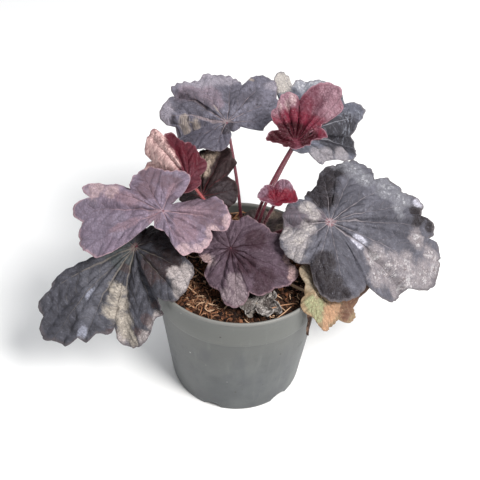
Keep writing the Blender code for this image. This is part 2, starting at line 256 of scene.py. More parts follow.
def turned_mesh(name, profile, steps):
    """Mesh turned about Z from (radius, height) points that start and end on the axis."""
    verts = []
    faces = []
    rings = []
    for radius, height in profile:
        if radius == 0.0:
            rings.append([len(verts)])
            verts.append((0.0, 0.0, height))
            continue
        ring = []
        for k in range(steps):
            a = 2 * math.pi * k / steps
            ring.append(len(verts))
            verts.append((radius * math.cos(a), radius * math.sin(a), height))
        rings.append(ring)
    for low, high in zip(rings, rings[1:]):
        for k in range(steps):
            n = (k + 1) % steps
            if len(low) == 1:
                faces.append((low[0], high[n], high[k]))
            elif len(high) == 1:
                faces.append((low[k], low[n], high[0]))
            else:
                faces.append((low[k], low[n], high[n], high[k]))
    mesh = bpy.data.meshes.new(name)
    mesh.from_pydata([tuple(c * MM for c in v) for v in verts], [], faces)
    mesh.validate()
    return mesh


def put(name, mesh, *materials):
    """Links a finished mesh as an object at the origin and gives it its materials."""
    item = bpy.data.objects.new(name, mesh)
    bpy.context.scene.collection.objects.link(item)
    mesh.materials.clear()
    for material in materials:
        mesh.materials.append(material)
    return item


def baked(item):
    """Turns the object's live modifiers into a plain mesh."""
    bpy.context.view_layer.update()
    graph = bpy.context.evaluated_depsgraph_get()
    mesh = bpy.data.meshes.new_from_object(
        item.evaluated_get(graph), preserve_all_data_layers=True, depsgraph=graph,
    )
    item.modifiers.clear()
    item.data = mesh
    return item


NOTCH_COUNT = 6
NOTCH_START = -48
NOTCH_RADIUS = 8.0
NOTCH_RING = 46.2
NOTCH_DROP = 3.2


def make_pot():
    # radius and height in millimetres: under the foot, up the outside, over the lip, down the inside
    profile = [
        (0.0, 0.6), (18.0, 0.6), (18.6, 0.0), (45.9, 0.0), (46.6, 0.15), (47.0, 0.5), (47.25, 1.1),
        (47.6, 4.0), (50.2, 27.0), (53.0, 52.0), (55.7, 76.4), (55.95, 78.0), (56.2, 78.55), (56.8, 79.1),
        (57.3, 79.6), (57.5, 80.3), (58.2, 88.0), (58.9, 96.0), (59.25, 100.6), (59.45, 101.0),
        (59.8, 101.15),
        (60.0, 101.5), (60.05, 102.2), (60.0, 102.8), (59.7, 103.2), (59.2, 103.4), (58.7, 103.35),
        (58.3, 103.1), (58.05, 102.6), (57.9, 101.6), (56.4, 84.0), (56.1, 80.4), (55.4, 79.3),
        (54.75, 78.3), (50.2, 40.0), (46.1, 3.6), (45.6, 2.2), (44.6, 1.65), (0.0, 1.6),
    ]
    pot = put("pot", turned_mesh("pot", profile, 168), pot_finish())
    cutters = []
    for k in range(NOTCH_COUNT):
        a = math.radians(NOTCH_START + 360 // NOTCH_COUNT * k)
        bpy.ops.mesh.primitive_cylinder_add(vertices=40, radius=NOTCH_RADIUS * MM, depth=NOTCH_RADIUS * MM)
        cutter = bpy.context.object
        middle = (NOTCH_RING * MM * math.cos(a), NOTCH_RING * MM * math.sin(a), -NOTCH_DROP * MM)
        lying = Matrix.Rotation(a, 4, "Z") @ Matrix.Rotation(math.radians(90), 4, "Y")
        cutter.data.transform(Matrix.Translation(middle) @ lying)
        cutters.append(cutter)
        cut = pot.modifiers.new("notch", "BOOLEAN")
        cut.object = cutter
        cut.operation = "DIFFERENCE"
        cut.solver = "EXACT"
    baked(pot)
    for cutter in cutters:
        bpy.data.objects.remove(cutter, do_unlink=True)
    pot.data.shade_smooth()
    pot.data.set_sharp_from_angle(angle=math.radians(38))
    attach(pot, "root")
    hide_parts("pot")


make_pot()


# The compost: dark peat with bark crumbs and pale wood fibres, poured in
# loose and sunk to a few millimetres under the lip. Crumbs and fibres are
# scattered over the surface of one lumpy body that fills the pot.
def compost_finish():
    peat = Finish("dark_compost", specular=0.2)
    spot = peat.place()
    cloud = peat.noise(spot, 0.010, 4.0)
    crumb = peat.noise(spot, 0.0016, 4.0, 0.7, 4.0)
    grains = peat.cells(spot, 0.0021)
    colour = peat.blend((0.010, 0.005, 0.003), (0.075, 0.036, 0.021), crumb.step(0.42, 0.62))
    colour = peat.blend(colour, (0.150, 0.075, 0.042), cloud.step(0.52, 0.72) * crumb.step(0.45, 0.6))
    chaff = peat.noise(spot, 0.0024, 3.0, 0.6, 9.0).step(0.66, 0.74)
    colour = peat.blend(colour, (0.20, 0.13, 0.085), chaff * 0.7)
    height = crumb * 0.8 + grains * 0.5
    return peat.feed(colour, 0.85 + crumb * 0.12, height, depth=0.0012, strength=1.0)


def crumb_finish():
    bark = Finish("bark_crumbs", specular=0.2)
    spot = bark.place()
    shade = bark.attribute("tone")
    colour = bark.blend((0.010, 0.005, 0.004), (0.095, 0.038, 0.020), shade.step(0.25, 0.80))
    colour = bark.blend(colour, (0.22, 0.090, 0.045), shade.step(0.84, 0.94) * 0.85)
    grain = bark.noise(spot, 0.0006, 3.0)
    return bark.feed(colour, 0.8 + grain * 0.15, grain, depth=0.0004, strength=0.9)


def fibre_finish():
    wood = Finish("wood_fibre", specular=0.25)
    spot = wood.place()
    shade = wood.attribute("tone")
    colour = wood.blend((0.070, 0.028, 0.016), (0.34, 0.150, 0.075), shade.step(0.15, 0.65))
    colour = wood.blend(colour, (0.68, 0.46, 0.30), shade.step(0.66, 0.92) * 0.95)
    streak = wood.noise(spot, 0.0009, 3.0, shift=2.0)
    colour = wood.blend(colour, (0.10, 0.05, 0.03), streak.step(0.60, 0.75) * 0.6)
    return wood.feed(colour, 0.65 + streak * 0.2, streak, depth=0.0002, strength=0.8)


COMPOST_LEVEL = 95.6
COMPOST_EDGE = 57.15
COMPOST_RINGS = 74


def compost_height(x, y):
    """Height of the compost surface in millimetres at a place in the pot."""
    spot = Vector((x / 9.0 + 3.1, y / 9.0 + 7.7, 0.4))
    lump = noise.noise(spot) * 1.3
    fine = noise.fractal(Vector((x / 2.6, y / 2.6, 2.0)), 0.8, 2.1, 3) * 0.7
    mound = 0.9 * math.exp(-((x - 2) ** 2 + (y - 17) ** 2) / 380.0)
    rim = 1.2 * max(0.0, (math.hypot(x, y) - 50.0) / 7.0)
    return COMPOST_LEVEL + lump + fine + mound - rim


def make_compost():
    rows = [COMPOST_EDGE * (k / COMPOST_RINGS) ** 0.9 for k in range(1, COMPOST_RINGS + 1)]
    profile = [(0.0, 2.0), (44.2, 2.0), (45.2, 2.9), (54.3, 78.5), (55.7, 80.9), (57.0, 94.0)]
    profile += [(r, 95.0) for r in reversed(rows)] + [(0.0, 95.0)]
    mesh = turned_mesh("compost", profile, 220)
    for v in mesh.vertices:
        if v.co.z > 94.5 * MM:
            v.co.z = compost_height(v.co.x / MM, v.co.y / MM) * MM
    item = put("compost", mesh, compost_finish())
    mesh.shade_smooth()
    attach(item, "root")
    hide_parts("soil")
    return item


compost = make_compost()


def bark_crumb():
    """One bark crumb, a lumpy pebble about 1 mm across with few faces."""
    bpy.ops.mesh.primitive_ico_sphere_add(subdivisions=1, radius=0.5 * MM)
    item = bpy.context.object
    for v in item.data.vertices:
        n = v.co.normalized()
        v.co *= 1.0 + 0.55 * noise.noise(n * 1.7 + Vector((4.0, 2.0, 9.0)))
        v.co.z *= 0.7
    return item


def wood_fibre(length, width, bow, turn):
    """One split wood fibre: a thin bowed sliver with a three-sided section."""
    count = 7
    verts = []
    for k in range(count):
        t = k / (count - 1)
        x = (t - 0.5) * length
        y = bow * (4 * t * (1 - t) - 0.5) + 0.2 * math.sin(t * 9)
        z = turn * math.sin(t * math.pi * 1.4)
        w = width * (0.35 + 0.65 * math.sin(math.pi * min(1.0, t * 0.8 + 0.15)))
        for j in range(3):
            a = 2 * math.pi * j / 3 + t * 1.3
            verts.append((x * MM, (y + w * math.cos(a)) * MM, (z + 0.45 * w * math.sin(a)) * MM))
    faces = [(2, 1, 0), tuple(range(3 * count - 3, 3 * count))]
    for k in range(count - 1):
        for j in range(3):
            n = (j + 1) % 3
            faces.append((3 * k + j, 3 * k + n, 3 * k + 3 + n, 3 * k + 3 + j))
    mesh = bpy.data.meshes.new("fibre")
    mesh.from_pydata(verts, [], faces)
    item = bpy.data.objects.new("fibre", mesh)
    bpy.context.scene.collection.objects.link(item)
    return item


def scatter(name, carrier, copies, material, seed, density, size, lift, lie, stand=False):
    """Scatters copies over the carrier with Geometry Nodes and returns one plain object.

    The carrier's point attribute "litter" says where they lie thickest, size holds the smallest
    and largest scale, lift raises them and lie tips them. With stand they stand off the surface.
    """
    tree = bpy.data.node_groups.new(name + "_scatter", "GeometryNodeTree")
    tree.interface.new_socket("Geometry", in_out="INPUT", socket_type="NodeSocketGeometry")
    tree.interface.new_socket("Geometry", in_out="OUTPUT", socket_type="NodeSocketGeometry")
    wanted = {"Density": density, "Smallest": size[0], "Largest": size[1], "Lift": lift, "Lean": lie}
    for label in wanted:
        tree.interface.new_socket(label, in_out="INPUT", socket_type="NodeSocketFloat")

    def node(kind, settings=None, inputs=None):
        made = tree.nodes.new(kind)
        for key, value in (settings or {}).items():
            setattr(made, key, value)
        for key, value in (inputs or {}).items():
            if isinstance(value, bpy.types.NodeSocket):
                tree.links.new(value, made.inputs[key])
            else:
                made.inputs[key].default_value = value
        return made

    def in_use(sockets, *names):
        """The sockets that count, as a node keeps one of each name for every kind of data."""
        return [s for s in sockets if s.enabled and (s.name in names or not names)]

    start = node("NodeGroupInput")
    where = node("GeometryNodeInputNamedAttribute", {"data_type": "FLOAT"}, {"Name": "litter"})
    thick = node(
        "ShaderNodeMath", {"operation": "MULTIPLY"},
        {0: start.outputs["Density"], 1: where.outputs["Attribute"]},
    )
    points = node(
        "GeometryNodeDistributePointsOnFaces", {"distribute_method": "RANDOM"},
        {"Mesh": start.outputs["Geometry"], "Density": thick.outputs[0], "Seed": seed},
    )
    box = bpy.data.collections.new(name + "_kinds")
    for item in copies:
        bpy.context.scene.collection.objects.unlink(item)
        box.objects.link(item)
    kinds = node(
        "GeometryNodeCollectionInfo", None,
        {"Collection": box, "Separate Children": True, "Reset Children": True},
    )
    full_turn = 6.283
    spin = node(
        "FunctionNodeRandomValue", {"data_type": "FLOAT_VECTOR"},
        {"Min": (0.0, 0.0, 0.0), "Max": (0.0, 0.0, full_turn), "Seed": seed + 1},
    )
    tip = node(
        "FunctionNodeRandomValue", {"data_type": "FLOAT_VECTOR"},
        {"Min": (-1.0, -1.0, 0.0), "Max": (1.0, 1.0, 0.0), "Seed": seed + 2},
    )
    lean = node(
        "ShaderNodeVectorMath", {"operation": "SCALE"},
        {0: tip.outputs[0], "Scale": start.outputs["Lean"]},
    )
    turn = node("ShaderNodeVectorMath", {"operation": "ADD"}, {0: spin.outputs[0], 1: lean.outputs[0]})
    scale = node("FunctionNodeRandomValue", {"data_type": "FLOAT"}, {"Seed": seed + 3})
    smallest, largest = in_use(scale.inputs, "Min", "Max")
    tree.links.new(start.outputs["Smallest"], smallest)
    tree.links.new(start.outputs["Largest"], largest)
    turn_to = node("FunctionNodeEulerToRotation", None, {0: turn.outputs[0]})
    if stand:
        away = node(
            "ShaderNodeVectorMath", {"operation": "ADD"},
            {0: points.outputs["Normal"], 1: lean.outputs[0]},
        )
        turn_to = node("FunctionNodeAlignRotationToVector", {"axis": "Z"}, {"Vector": away.outputs[0]})
    copy = node(
        "GeometryNodeInstanceOnPoints", None,
        {
            "Points": points.outputs["Points"], "Instance": kinds.outputs[0], "Pick Instance": True,
            "Rotation": turn_to.outputs[0], "Scale": in_use(scale.outputs)[0],
        },
    )
    rise = node("ShaderNodeCombineXYZ", None, {"Z": start.outputs["Lift"]})
    moved = node(
        "GeometryNodeTranslateInstances", None,
        {"Instances": copy.outputs[0], "Translation": rise.outputs[0], "Local Space": False},
    )
    # every copy carries one random number that its material reads as "tone"
    luck = node("FunctionNodeRandomValue", {"data_type": "FLOAT"}, {"Seed": seed + 4})
    toned = node(
        "GeometryNodeStoreNamedAttribute", {"data_type": "FLOAT", "domain": "INSTANCE"},
        {"Geometry": moved.outputs[0], "Name": "tone"},
    )
    tree.links.new(in_use(luck.outputs)[0], in_use(toned.inputs, "Value")[0])
    real = node("GeometryNodeRealizeInstances", None, {0: toned.outputs[0]})
    dressed = node("GeometryNodeSetMaterial", None, {0: real.outputs[0], "Material": material})
    end = node("NodeGroupOutput")
    tree.links.new(dressed.outputs[0], end.inputs[0])

    item = bpy.data.objects.new(name, carrier.data.copy())
    bpy.context.scene.collection.objects.link(item)
    grow = item.modifiers.new("scatter", "NODES")
    grow.node_group = tree
    for socket in tree.interface.items_tree:
        if socket.in_out == "INPUT" and socket.name in wanted:
            grow[socket.identifier] = wanted[socket.name]
    baked(item)
    for made in list(box.objects):
        bpy.data.objects.remove(made, do_unlink=True)
    bpy.data.collections.remove(box)
    return item


LITTER_RADIUS = 56.0
FIBRE_RADIUS = 50.5
TOP_FROM = 92.0


def litter_map(item, rule):
    """Stores how thick the litter lies at each point of the compost's top."""
    old = item.data.attributes.get("litter")
    if old:
        item.data.attributes.remove(old)
    layer = item.data.attributes.new("litter", "FLOAT", "POINT")
    values = []
    for v in item.data.vertices:
        x, y, z = v.co / MM
        values.append(rule(x, y) if z > TOP_FROM and math.hypot(x, y) < LITTER_RADIUS else 0.0)
    layer.data.foreach_set("value", values)


def add_tube(verts, faces, line, radii, sides=12):
    """Closed tube along a line, appended to the lists."""
    start = len(verts)
    ways = np.gradient(line, axis=0)
    ways /= np.linalg.norm(ways, axis=1, keepdims=True)
    guide = np.array([1.0, 0.0, 0.0])
    for spot, way, radius in zip(line, ways, radii):
        guide = guide - way * guide.dot(way)
        guide /= np.linalg.norm(guide)
        across = np.cross(way, guide)
        for k in range(sides):
            a = 2 * math.pi * k / sides
            size = radius * (1 + 0.07 * math.cos(3 * a))
            verts.append(spot + size * (math.cos(a) * guide + math.sin(a) * across))
    count = len(line)
    for i in range(count - 1):
        for k in range(sides):
            n = (k + 1) % sides
            a = start + i * sides
            faces.append((a + k, a + n, a + sides + n, a + sides + k))
    faces.append(tuple(start + k for k in reversed(range(sides))))
    faces.append(tuple(start + (count - 1) * sides + k for k in range(sides)))


def make_straws():
    """The longer single straws that lie across the compost, each along a few points."""
    lines = [
        [(-38.0, 2.5, 98.2), (-33.0, -3.5, 99.0), (-26.0, -10.5, 98.7), (-17.0, -18.5, 98.0)],
        [(8.0, -45.0, 97.6), (17.0, -43.5, 99.2), (27.0, -38.5, 99.4), (38.0, -34.5, 98.0)],
        [(22.0, -50.5, 97.0), (29.0, -45.0, 99.0), (34.5, -38.0, 98.6)],
        [(-6.0, 47.0, 97.8), (-1.0, 52.0, 100.6), (6.0, 53.0, 99.0)],
        [(-42.0, -20.0, 97.4), (-34.0, -23.0, 99.0), (-27.0, -29.5, 98.0)],
        [(-12.0, 52.5, 98.0), (-4.0, 50.0, 101.2), (2.0, 54.5, 99.5)],
    ]
    verts = []
    faces = []
    tones = []
    sides = 7
    for number, knots in enumerate(lines):
        knots = np.array(knots, float)
        path = []
        for a, b in zip(knots, knots[1:]):
            path += [a + (b - a) * t for t in np.linspace(0, 1, 7)[:-1]]
        path = np.array(path + [knots[-1]])
        path[1:-1] = (path[:-2] + 2 * path[1:-1] + path[2:]) / 4
        part = np.linspace(0, 1, len(path))
        radii = (0.42 - 0.05 * (number % 3)) * (1.0 - 0.55 * np.abs(2 * part - 1) ** 3)
        add_tube(verts, faces, path, radii, sides)
        tones += [(0.86, 0.74, 0.80, 0.62)[number % 4]] * (len(path) * sides)
    mesh = bpy.data.meshes.new("straws")
    mesh.from_pydata([tuple(p * MM) for p in verts], [], faces)
    mesh.attributes.new("tone", "FLOAT", "POINT").data.foreach_set("value", tones)
    item = put("straws", mesh, fibre_finish())
    mesh.shade_smooth()
    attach(item, "root")


make_straws()


CRUMBS_PER_SQUARE_METRE = 200000.0
FIBRES_PER_SQUARE_METRE = 130000.0


def make_litter():
    # places where fibres lie in tufts: x, y, spread in millimetres, strength
    tufts = [
        (-6, 50, 5, 12), (0, 52, 5, 12), (-38, -12, 6, 7), (-31, -20, 6, 6), (-27, -33, 7, 4),
        (-20, -43, 7, 4), (22, -45, 7, 3), (38, -28, 6, 3), (20, 46, 5, 5), (30, 38, 5, 3),
        (-50, 5, 5, 3),
    ]

    def crumbs_lie(x, y):
        return 0.4 + 1.2 * max(0.0, noise.noise(Vector((x / 12, y / 12, 5.0))) + 0.3)

    def fibres_lie(x, y):
        value = 0.25 + 0.9 * max(0.0, noise.noise(Vector((x / 14, y / 14, 1.0))) + 0.15)
        for tx, ty, spread, strength in tufts:
            value += strength * math.exp(-((x - tx) ** 2 + (y - ty) ** 2) / (spread * spread))
        # fibres are long, so their middles stay further from the pot's wall
        return value if math.hypot(x, y) < FIBRE_RADIUS else 0.0

    litter_map(compost, crumbs_lie)
    crumbs = scatter(
        "bark_crumbs", compost, [bark_crumb()], crumb_finish(), 11, CRUMBS_PER_SQUARE_METRE, (0.8, 4.2),
        0.0001, 1.2,
    )
    litter_map(compost, fibres_lie)
    kinds = [
        wood_fibre(8.0, 0.50, 1.2, 0.7), wood_fibre(5.5, 0.70, 0.6, 0.4), wood_fibre(11.0, 0.42, 2.0, 1.1),
        wood_fibre(3.5, 0.95, 0.3, 0.2), wood_fibre(6.0, 0.28, 1.5, 1.2),
    ]
    fibres = scatter(
        "wood_fibres", compost, kinds, fibre_finish(), 23, FIBRES_PER_SQUARE_METRE, (0.5, 1.2),
        0.0005, 0.40,
    )
    for item in (crumbs, fibres):
        item.data.shade_smooth()
        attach(item, "root")
    compost.data.attributes.remove(compost.data.attributes["litter"])


make_litter()


# The upper left leaf: the tallest, a blue-grey scalloped blade with a mauve
# cast, dark freckles and pale veins, on a thin crimson stalk. Blade and stalk
# grow as one piece, and the stalk's foot stands in the compost.
TEETH_PITCH = 8.5
BLADE_THICKNESS = 0.5
BRIM_PART = 0.55
BRIM_REACH = 0.14
SIDE_VEIN_PITCH = 7.5
SIDE_VEIN_SLANT = 1.25
UV_SPAN = 100.0
NET_CELL = 1.7
STALK_RADIUS = 1.22
STALK_FOOT = 85.0
STALK_TURN = 97.5


def axes_of(face):
    """Forward, sideways and up directions of a blade that faces a heading, pitch and roll."""
    heading, pitch, roll = (math.radians(a) for a in face)
    level = math.cos(pitch)
    forward = np.array([math.cos(heading) * level, math.sin(heading) * level, math.sin(pitch)])
    side = np.array([-math.sin(heading), math.cos(heading), 0.0])
    up = np.cross(forward, side)
    return forward, side * math.cos(roll) + up * math.sin(roll), up * math.cos(roll) - side * math.sin(roll)


def rim_of(rim, angles):
    """Length and slope of a blade at each angle: sharp at the notches, rounded at the lobes."""
    knots = list(rim) + [(rim[0][0] + 360, rim[0][1], rim[0][2])]
    length = np.zeros_like(angles)
    slope = np.zeros_like(angles)
    for n, (start, end) in enumerate(zip(knots, knots[1:])):
        here = (angles >= start[0] - 1e-6) & (angles <= end[0] + 1e-6)
        t = (angles[here] - start[0]) / (end[0] - start[0])
        if n % 2 == 0:
            length[here] = end[1] + (start[1] - end[1]) * (1 - t) ** 2.2
        else:
            length[here] = start[1] + (end[1] - start[1]) * t ** 2.2
        slope[here] = start[2] + (end[2] - start[2]) * t * t * (3 - 2 * t)
    return length, slope


def clouds(x, y, size, seed):
    """Smooth noise from -1 to 1 at plan points in millimetres."""
    flat = [noise.noise(Vector((a / size, b / size, seed))) for a, b in zip(x.ravel(), y.ravel())]
    return np.array(flat).reshape(x.shape)


def smooth(values, low, high):
    """0 below low, 1 above high and an even curve between them."""
    t = np.clip((values - low) / (high - low), 0, 1)
    return t * t * (3 - 2 * t)


def normals_of(spots, up):
    """Directions square to a blade's surface at each of its points."""
    along_ring = np.roll(spots, -1, axis=1) - np.roll(spots, 1, axis=1)
    along_ray = np.gradient(spots, axis=0)
    square = np.cross(along_ray, along_ring)
    square[0] = up
    return square / np.maximum(np.linalg.norm(square, axis=-1, keepdims=True), 1e-9)


def blade_grid(leaf):
    """Middle surface of a blade with its relief, and the vein coordinates on it."""
    steps, rings = leaf.get("grid", (300, 44))
    rim = leaf["rim"]
    seed = leaf["seed"]
    angles = rim[0][0] + np.arange(steps) * 360.0 / steps
    length, slope = rim_of(rim, angles)
    turn = np.radians(angles)
    # rounded teeth round the edge, spaced by the length of edge they take
    edge = np.stack([length * np.cos(turn), length * np.sin(turn)], -1)
    along = np.concatenate([[0.0], np.cumsum(np.linalg.norm(np.diff(edge, axis=0), axis=1))])
    whole = along[-1] + np.linalg.norm(edge[0] - edge[-1])
    count = max(6, round(whole / TEETH_PITCH))
    phase = along / whole * count + 0.35 * np.sin(along / whole * 2 * math.pi * 5)
    teeth = 0.50 * np.cos(2 * math.pi * phase) - 0.14 * np.cos(4 * math.pi * phase)
    length = length + teeth * leaf.get("teeth", 0.75) * np.clip(length / 30.0, 0.3, 1.0)

    # each ray of the blade leaves the heart at its slope and arches over to the edge
    forward, side, up = axes_of(leaf["face"])
    parts = np.linspace(0, 1, rings + 1) ** 0.92
    out = np.zeros(steps)
    lift = np.zeros(steps)
    rows_out = [out]
    rows_lift = [lift]
    for a, b in zip(parts, parts[1:]):
        bend = np.radians(slope + leaf["arch"] * (0.5 - (a + b) / 2))
        out = out + length * (b - a) * np.cos(bend)
        lift = lift + length * (b - a) * np.sin(bend)
        rows_out.append(out)
        rows_lift.append(lift)
    out = np.array(rows_out)[..., None]
    lift = np.array(rows_lift)[..., None]
    cos = np.cos(turn)[None, :, None]
    sin = np.sin(turn)[None, :, None]
    spots = np.array(leaf["at"], float) + out * cos * forward + out * sin * side + lift * up

    # each point belongs to the main vein nearest in angle
    reach = parts[:, None] * length[None, :]
    x = reach * np.cos(turn)[None, :]
    y = reach * np.sin(turn)[None, :]
    veins = sorted(leaf["veins"])
    order = np.array([v[0] for v in veins], float)
    vein_reach = np.array([v[1] for v in veins], float)
    vein_turn = np.radians(order)
    centre = angles + 180.0 / steps
    owner = np.argmin([np.abs((centre - angle + 180) % 360 - 180) for angle in order], axis=0)
    wander = clouds(x, y, 14.0, seed + 0.3) * 1.2 + clouds(x, y, 5.0, seed + 5.3) * 0.45
    wander = wander * smooth(reach, 2.0, 10.0)

    def lobe(column_owner, columns):
        """Distances along and across the main vein that owns each column, and the vein's length."""
        off = turn[columns][None, :] - vein_turn[column_owner][None, :]
        u = reach[:, columns] * np.cos(off)
        v = reach[:, columns] * np.sin(off) + wander[:, columns]
        return u, v, vein_reach[column_owner][None, :] + 0 * u

    # the blade is pleated: low along each main vein and high midway to the next
    room = np.empty(steps)
    for k in range(len(order)):
        before = (order[k] - order[k - 1]) % 360 / 2
        after = (order[(k + 1) % len(order)] - order[k]) % 360 / 2
        off = (angles - order[k] + 180) % 360 - 180
        mine = owner == k
        room[mine] = np.where(off[mine] < 0, -off[mine] / before, off[mine] / after)
    fold = leaf.get("fold", 1.3) * (smooth(room, 0.0, 1.0) - 0.4)[None, :] * smooth(reach, 2.0, 16.0)
    fold = fold * (1.15 - 0.5 * parts[:, None])
    # where two lobes overlap, one side of the gap lifts over the other
    for angle, start, end, height, width in leaf.get("laps", ()):
        off = (angles - angle + 180) % 360 - 180
        rise = np.where(off >= 0, np.exp(-np.abs(off) / width), -0.5 * np.exp(-np.abs(off) / width * 1.6))
        lap = smooth(reach, start, start + 9.0) * (1 - smooth(reach, end - 7.0, end))
        fold = fold + height * rise[None, :] * lap

    # veins are sunk, the flesh between them swells and the edge ruffles
    u, v, far = lobe(owner, np.arange(steps))
    pitch = leaf.get("pitch", SIDE_VEIN_PITCH)
    side_vein = (u - SIDE_VEIN_SLANT * np.abs(v)) / pitch + 0.5 * (v > 0)
    to_side = np.abs((side_vein % 1.0) - 0.5) * pitch * 0.62
    sink_main = -0.65 * np.exp(-(v / 0.95) ** 2) * np.clip(1.1 - u / (far + 1), 0.2, 1)
    sink_side = -0.42 * np.exp(-(to_side / 0.85) ** 2) * smooth(reach, 4.0, 12.0)
    between = 0.42 * (1 - np.exp(-(np.minimum(np.abs(v), to_side) / 1.8) ** 2))
    crumple = clouds(x, y, 3.4, seed + 1.1) * 0.34 + clouds(x, y, 9.0, seed + 2.2) * 0.7
    relief = (sink_main + sink_side + between + crumple) * leaf.get("relief", 1.0)
    edge_part = reach / np.maximum(length[None, :], 1)
    wave = clouds(x, y, 9.0, seed + 3.3) + 0.2 * np.sin(2 * math.pi * phase)[None, :]
    relief = relief * smooth(reach, 0.5, 6.0) + fold + leaf.get("ruffle", 1.1) * edge_part ** 3 * wave
    relief = relief + leaf.get("curl", 0.0) * smooth(edge_part, 0.82, 1.0) ** 2
    spots = spots + normals_of(spots, up) * relief[..., None]
    return {
        "spots": spots, "normal": normals_of(spots, up), "x": x, "y": y, "owner": owner, "lobe": lobe,
        "far": vein_reach, "up": up, "edge": edge_part,
    }


# points and faces of every stalk between foot and heart, for the hairs to grow on
hair_roots = ([], [])


def stalk_line(leaf, up, count):
    """Middle line of a stalk from its foot in the compost to the heart of the blade."""
    head = np.array(leaf["at"], float) + up * 0.3
    x, y = leaf["foot"]
    foot = np.array([x, y, STALK_FOOT])
    turn = np.array([x, y, STALK_TURN])
    rise = np.array([x, y, float(leaf["rise"])])
    bend = np.array(leaf["bend"], float) if leaf.get("bend") else head + 0.35 * (rise - head)
    line = [foot, foot + (turn - foot) * 0.5]
    for t in np.linspace(0, 1, count):
        near_foot = (1 - t) ** 3 * turn + 3 * (1 - t) ** 2 * t * rise
        line.append(near_foot + 3 * (1 - t) * t * t * bend + t ** 3 * head)
    return np.array(line)


def blade_finish(
    name, flesh, shade, vein, net, margin, patches=(), halo=None, vein_show=0.64, net_show=0.35,
    freckle=0.3, freckle_colour=(0.024, 0.018, 0.024), rough=0.52, pitch=SIDE_VEIN_PITCH, depth=0.0007,
):
    """Upper skin of a blade: veined, netted and mottled flesh, with patches where the leaf marks them.

    A patch holds the mark's name, a colour, how strong it is, how grainy its edge is, the size of
    the grain in millimetres and, for one that fills only the middle of its mark, a cut.
    """
    skin = Finish(name, specular=0.2)
    lobe = skin.add("ShaderNodeUVMap", {"uv_map": "lobe"})
    plan = skin.add("ShaderNodeUVMap", {"uv_map": "plan"})
    rim = skin.add("ShaderNodeUVMap", {"uv_map": "rim"})
    u = skin.part(lobe, 0) * UV_SPAN
    v = skin.part(lobe, 1) * UV_SPAN
    outward = skin.part(rim, 1)
    far = skin.attribute("far")

    def mottle(size, detail=3.0, roughness=0.6, shift=0.0):
        return skin.noise(plan, size / UV_SPAN, detail, roughness, shift)

    # main veins along the middle of each lobe, side veins slanting off them, and a fine net
    away = v.abs()
    width = (1.05 - u / far).high(0.2) * 0.42
    main = 1.0 - away.step(width * 0.55, width * 1.5)
    stray = (mottle(7.0, 2.0, 0.5, 3.0) - 0.5) * 0.5
    branch = (u - away * SIDE_VEIN_SLANT) / pitch + v.over(0.0) * 0.5 + stray
    gap = (branch.fract() - 0.5).abs() * (pitch * 0.62)
    side = (1.0 - gap.step(0.06, 0.30)) * u.step(4.0, 12.0)
    mesh = skin.add(
        "ShaderNodeTexVoronoi", {"feature": "DISTANCE_TO_EDGE"},
        {"Vector": plan, "Scale": UV_SPAN / NET_CELL, "Randomness": 0.9},
    )
    web = 1.0 - mesh.step(0.02, 0.16)
    fine = mottle(0.9, 3.0, 0.65, 1.0)
    broad = mottle(11.0, 4.0, 0.6, 2.0)
    middling = mottle(3.2, 4.0, 0.65, 4.0)
    # flesh with darker and lighter lumps
    colour = skin.blend(flesh, shade, broad.step(0.40, 0.66) * 0.75 + middling.step(0.5, 0.72) * 0.25)
    lumps = mottle(4.2, 4.0, 0.68, 21.0)
    colour = skin.blend(colour, tuple(c * 0.7 for c in shade), lumps.step(0.50, 0.66) * 0.78)
    light = tuple(min(1.0, c * 1.5 + 0.01) for c in flesh)
    colour = skin.blend(colour, light, (1.0 - lumps).step(0.53, 0.68) * 0.78)
    if halo:
        near = 1.0 - away.low(gap + 0.4).step(0.2, 2.6)
        colour = skin.blend(colour, halo, near * 0.55 * (0.5 + middling))
    for attribute, tint, strength, grain, size, *cut in patches:
        cloud = mottle(size, 5.0, 0.72, 6.0 + grain)
        edge = skin.attribute(attribute) + (cloud - 0.5) * grain + (fine - 0.5) * 0.35
        if cut:
            edge = edge - cut[0]
        body = mottle(size * 0.45, 4.0, 0.7, 18.0 + grain).step(0.30, 0.62) * 0.45 + 0.55
        colour = skin.blend(colour, tint, edge.step(0.28, 0.66) * body * strength)
    # painted sheen: silvery glints of painted highlight, then dull grains and dark freckles
    painted_sheen = mottle(0.7, 2.0, 0.7, 12.0).step(0.56, 0.70) * mottle(4.5, 3.0, 0.6, 13.0).step(0.42, 0.6)
    colour = skin.blend(colour, tuple(min(1.0, c * 1.7 + 0.03) for c in flesh), painted_sheen * 0.7)
    dull = mottle(1.3, 3.0, 0.7, 14.0).step(0.50, 0.66) * mottle(8.0, 3.0, 0.6, 15.0).step(0.38, 0.62)
    colour = skin.blend(colour, shade, dull * 0.6)
    spots = skin.cells(plan, 2.1 / UV_SPAN)
    spotted = (1.0 - spots.step(0.12, 0.42)) * mottle(6.0, 3.0, 0.6, 8.0).step(0.48, 0.64)
    colour = skin.blend(colour, freckle_colour, spotted * freckle)
    # veins fade towards the edge, which has a colour of its own
    colour = skin.blend(colour, net, web * net_show * (0.35 + broad))
    faded = 1.0 - (u / far).step(0.15, 0.95) * 0.6
    colour = skin.blend(colour, vein, side * faded * middling.step(0.36, 0.60) * vein_show * 0.42)
    colour = skin.blend(colour, vein, main * faded * vein_show)
    brink = outward + (mottle(2.0, 3.0, 0.6, 9.0) - 0.5) * 0.08
    colour = skin.blend(colour, margin, brink.step(0.955, 1.0) * 0.8)
    height = 0.6 - main * 0.5 - side * 0.35 - web * 0.3 + fine * 0.35 + middling * 0.35
    return skin.feed(colour, rough + fine * 0.18 - 0.06, height, depth=depth, strength=0.8)


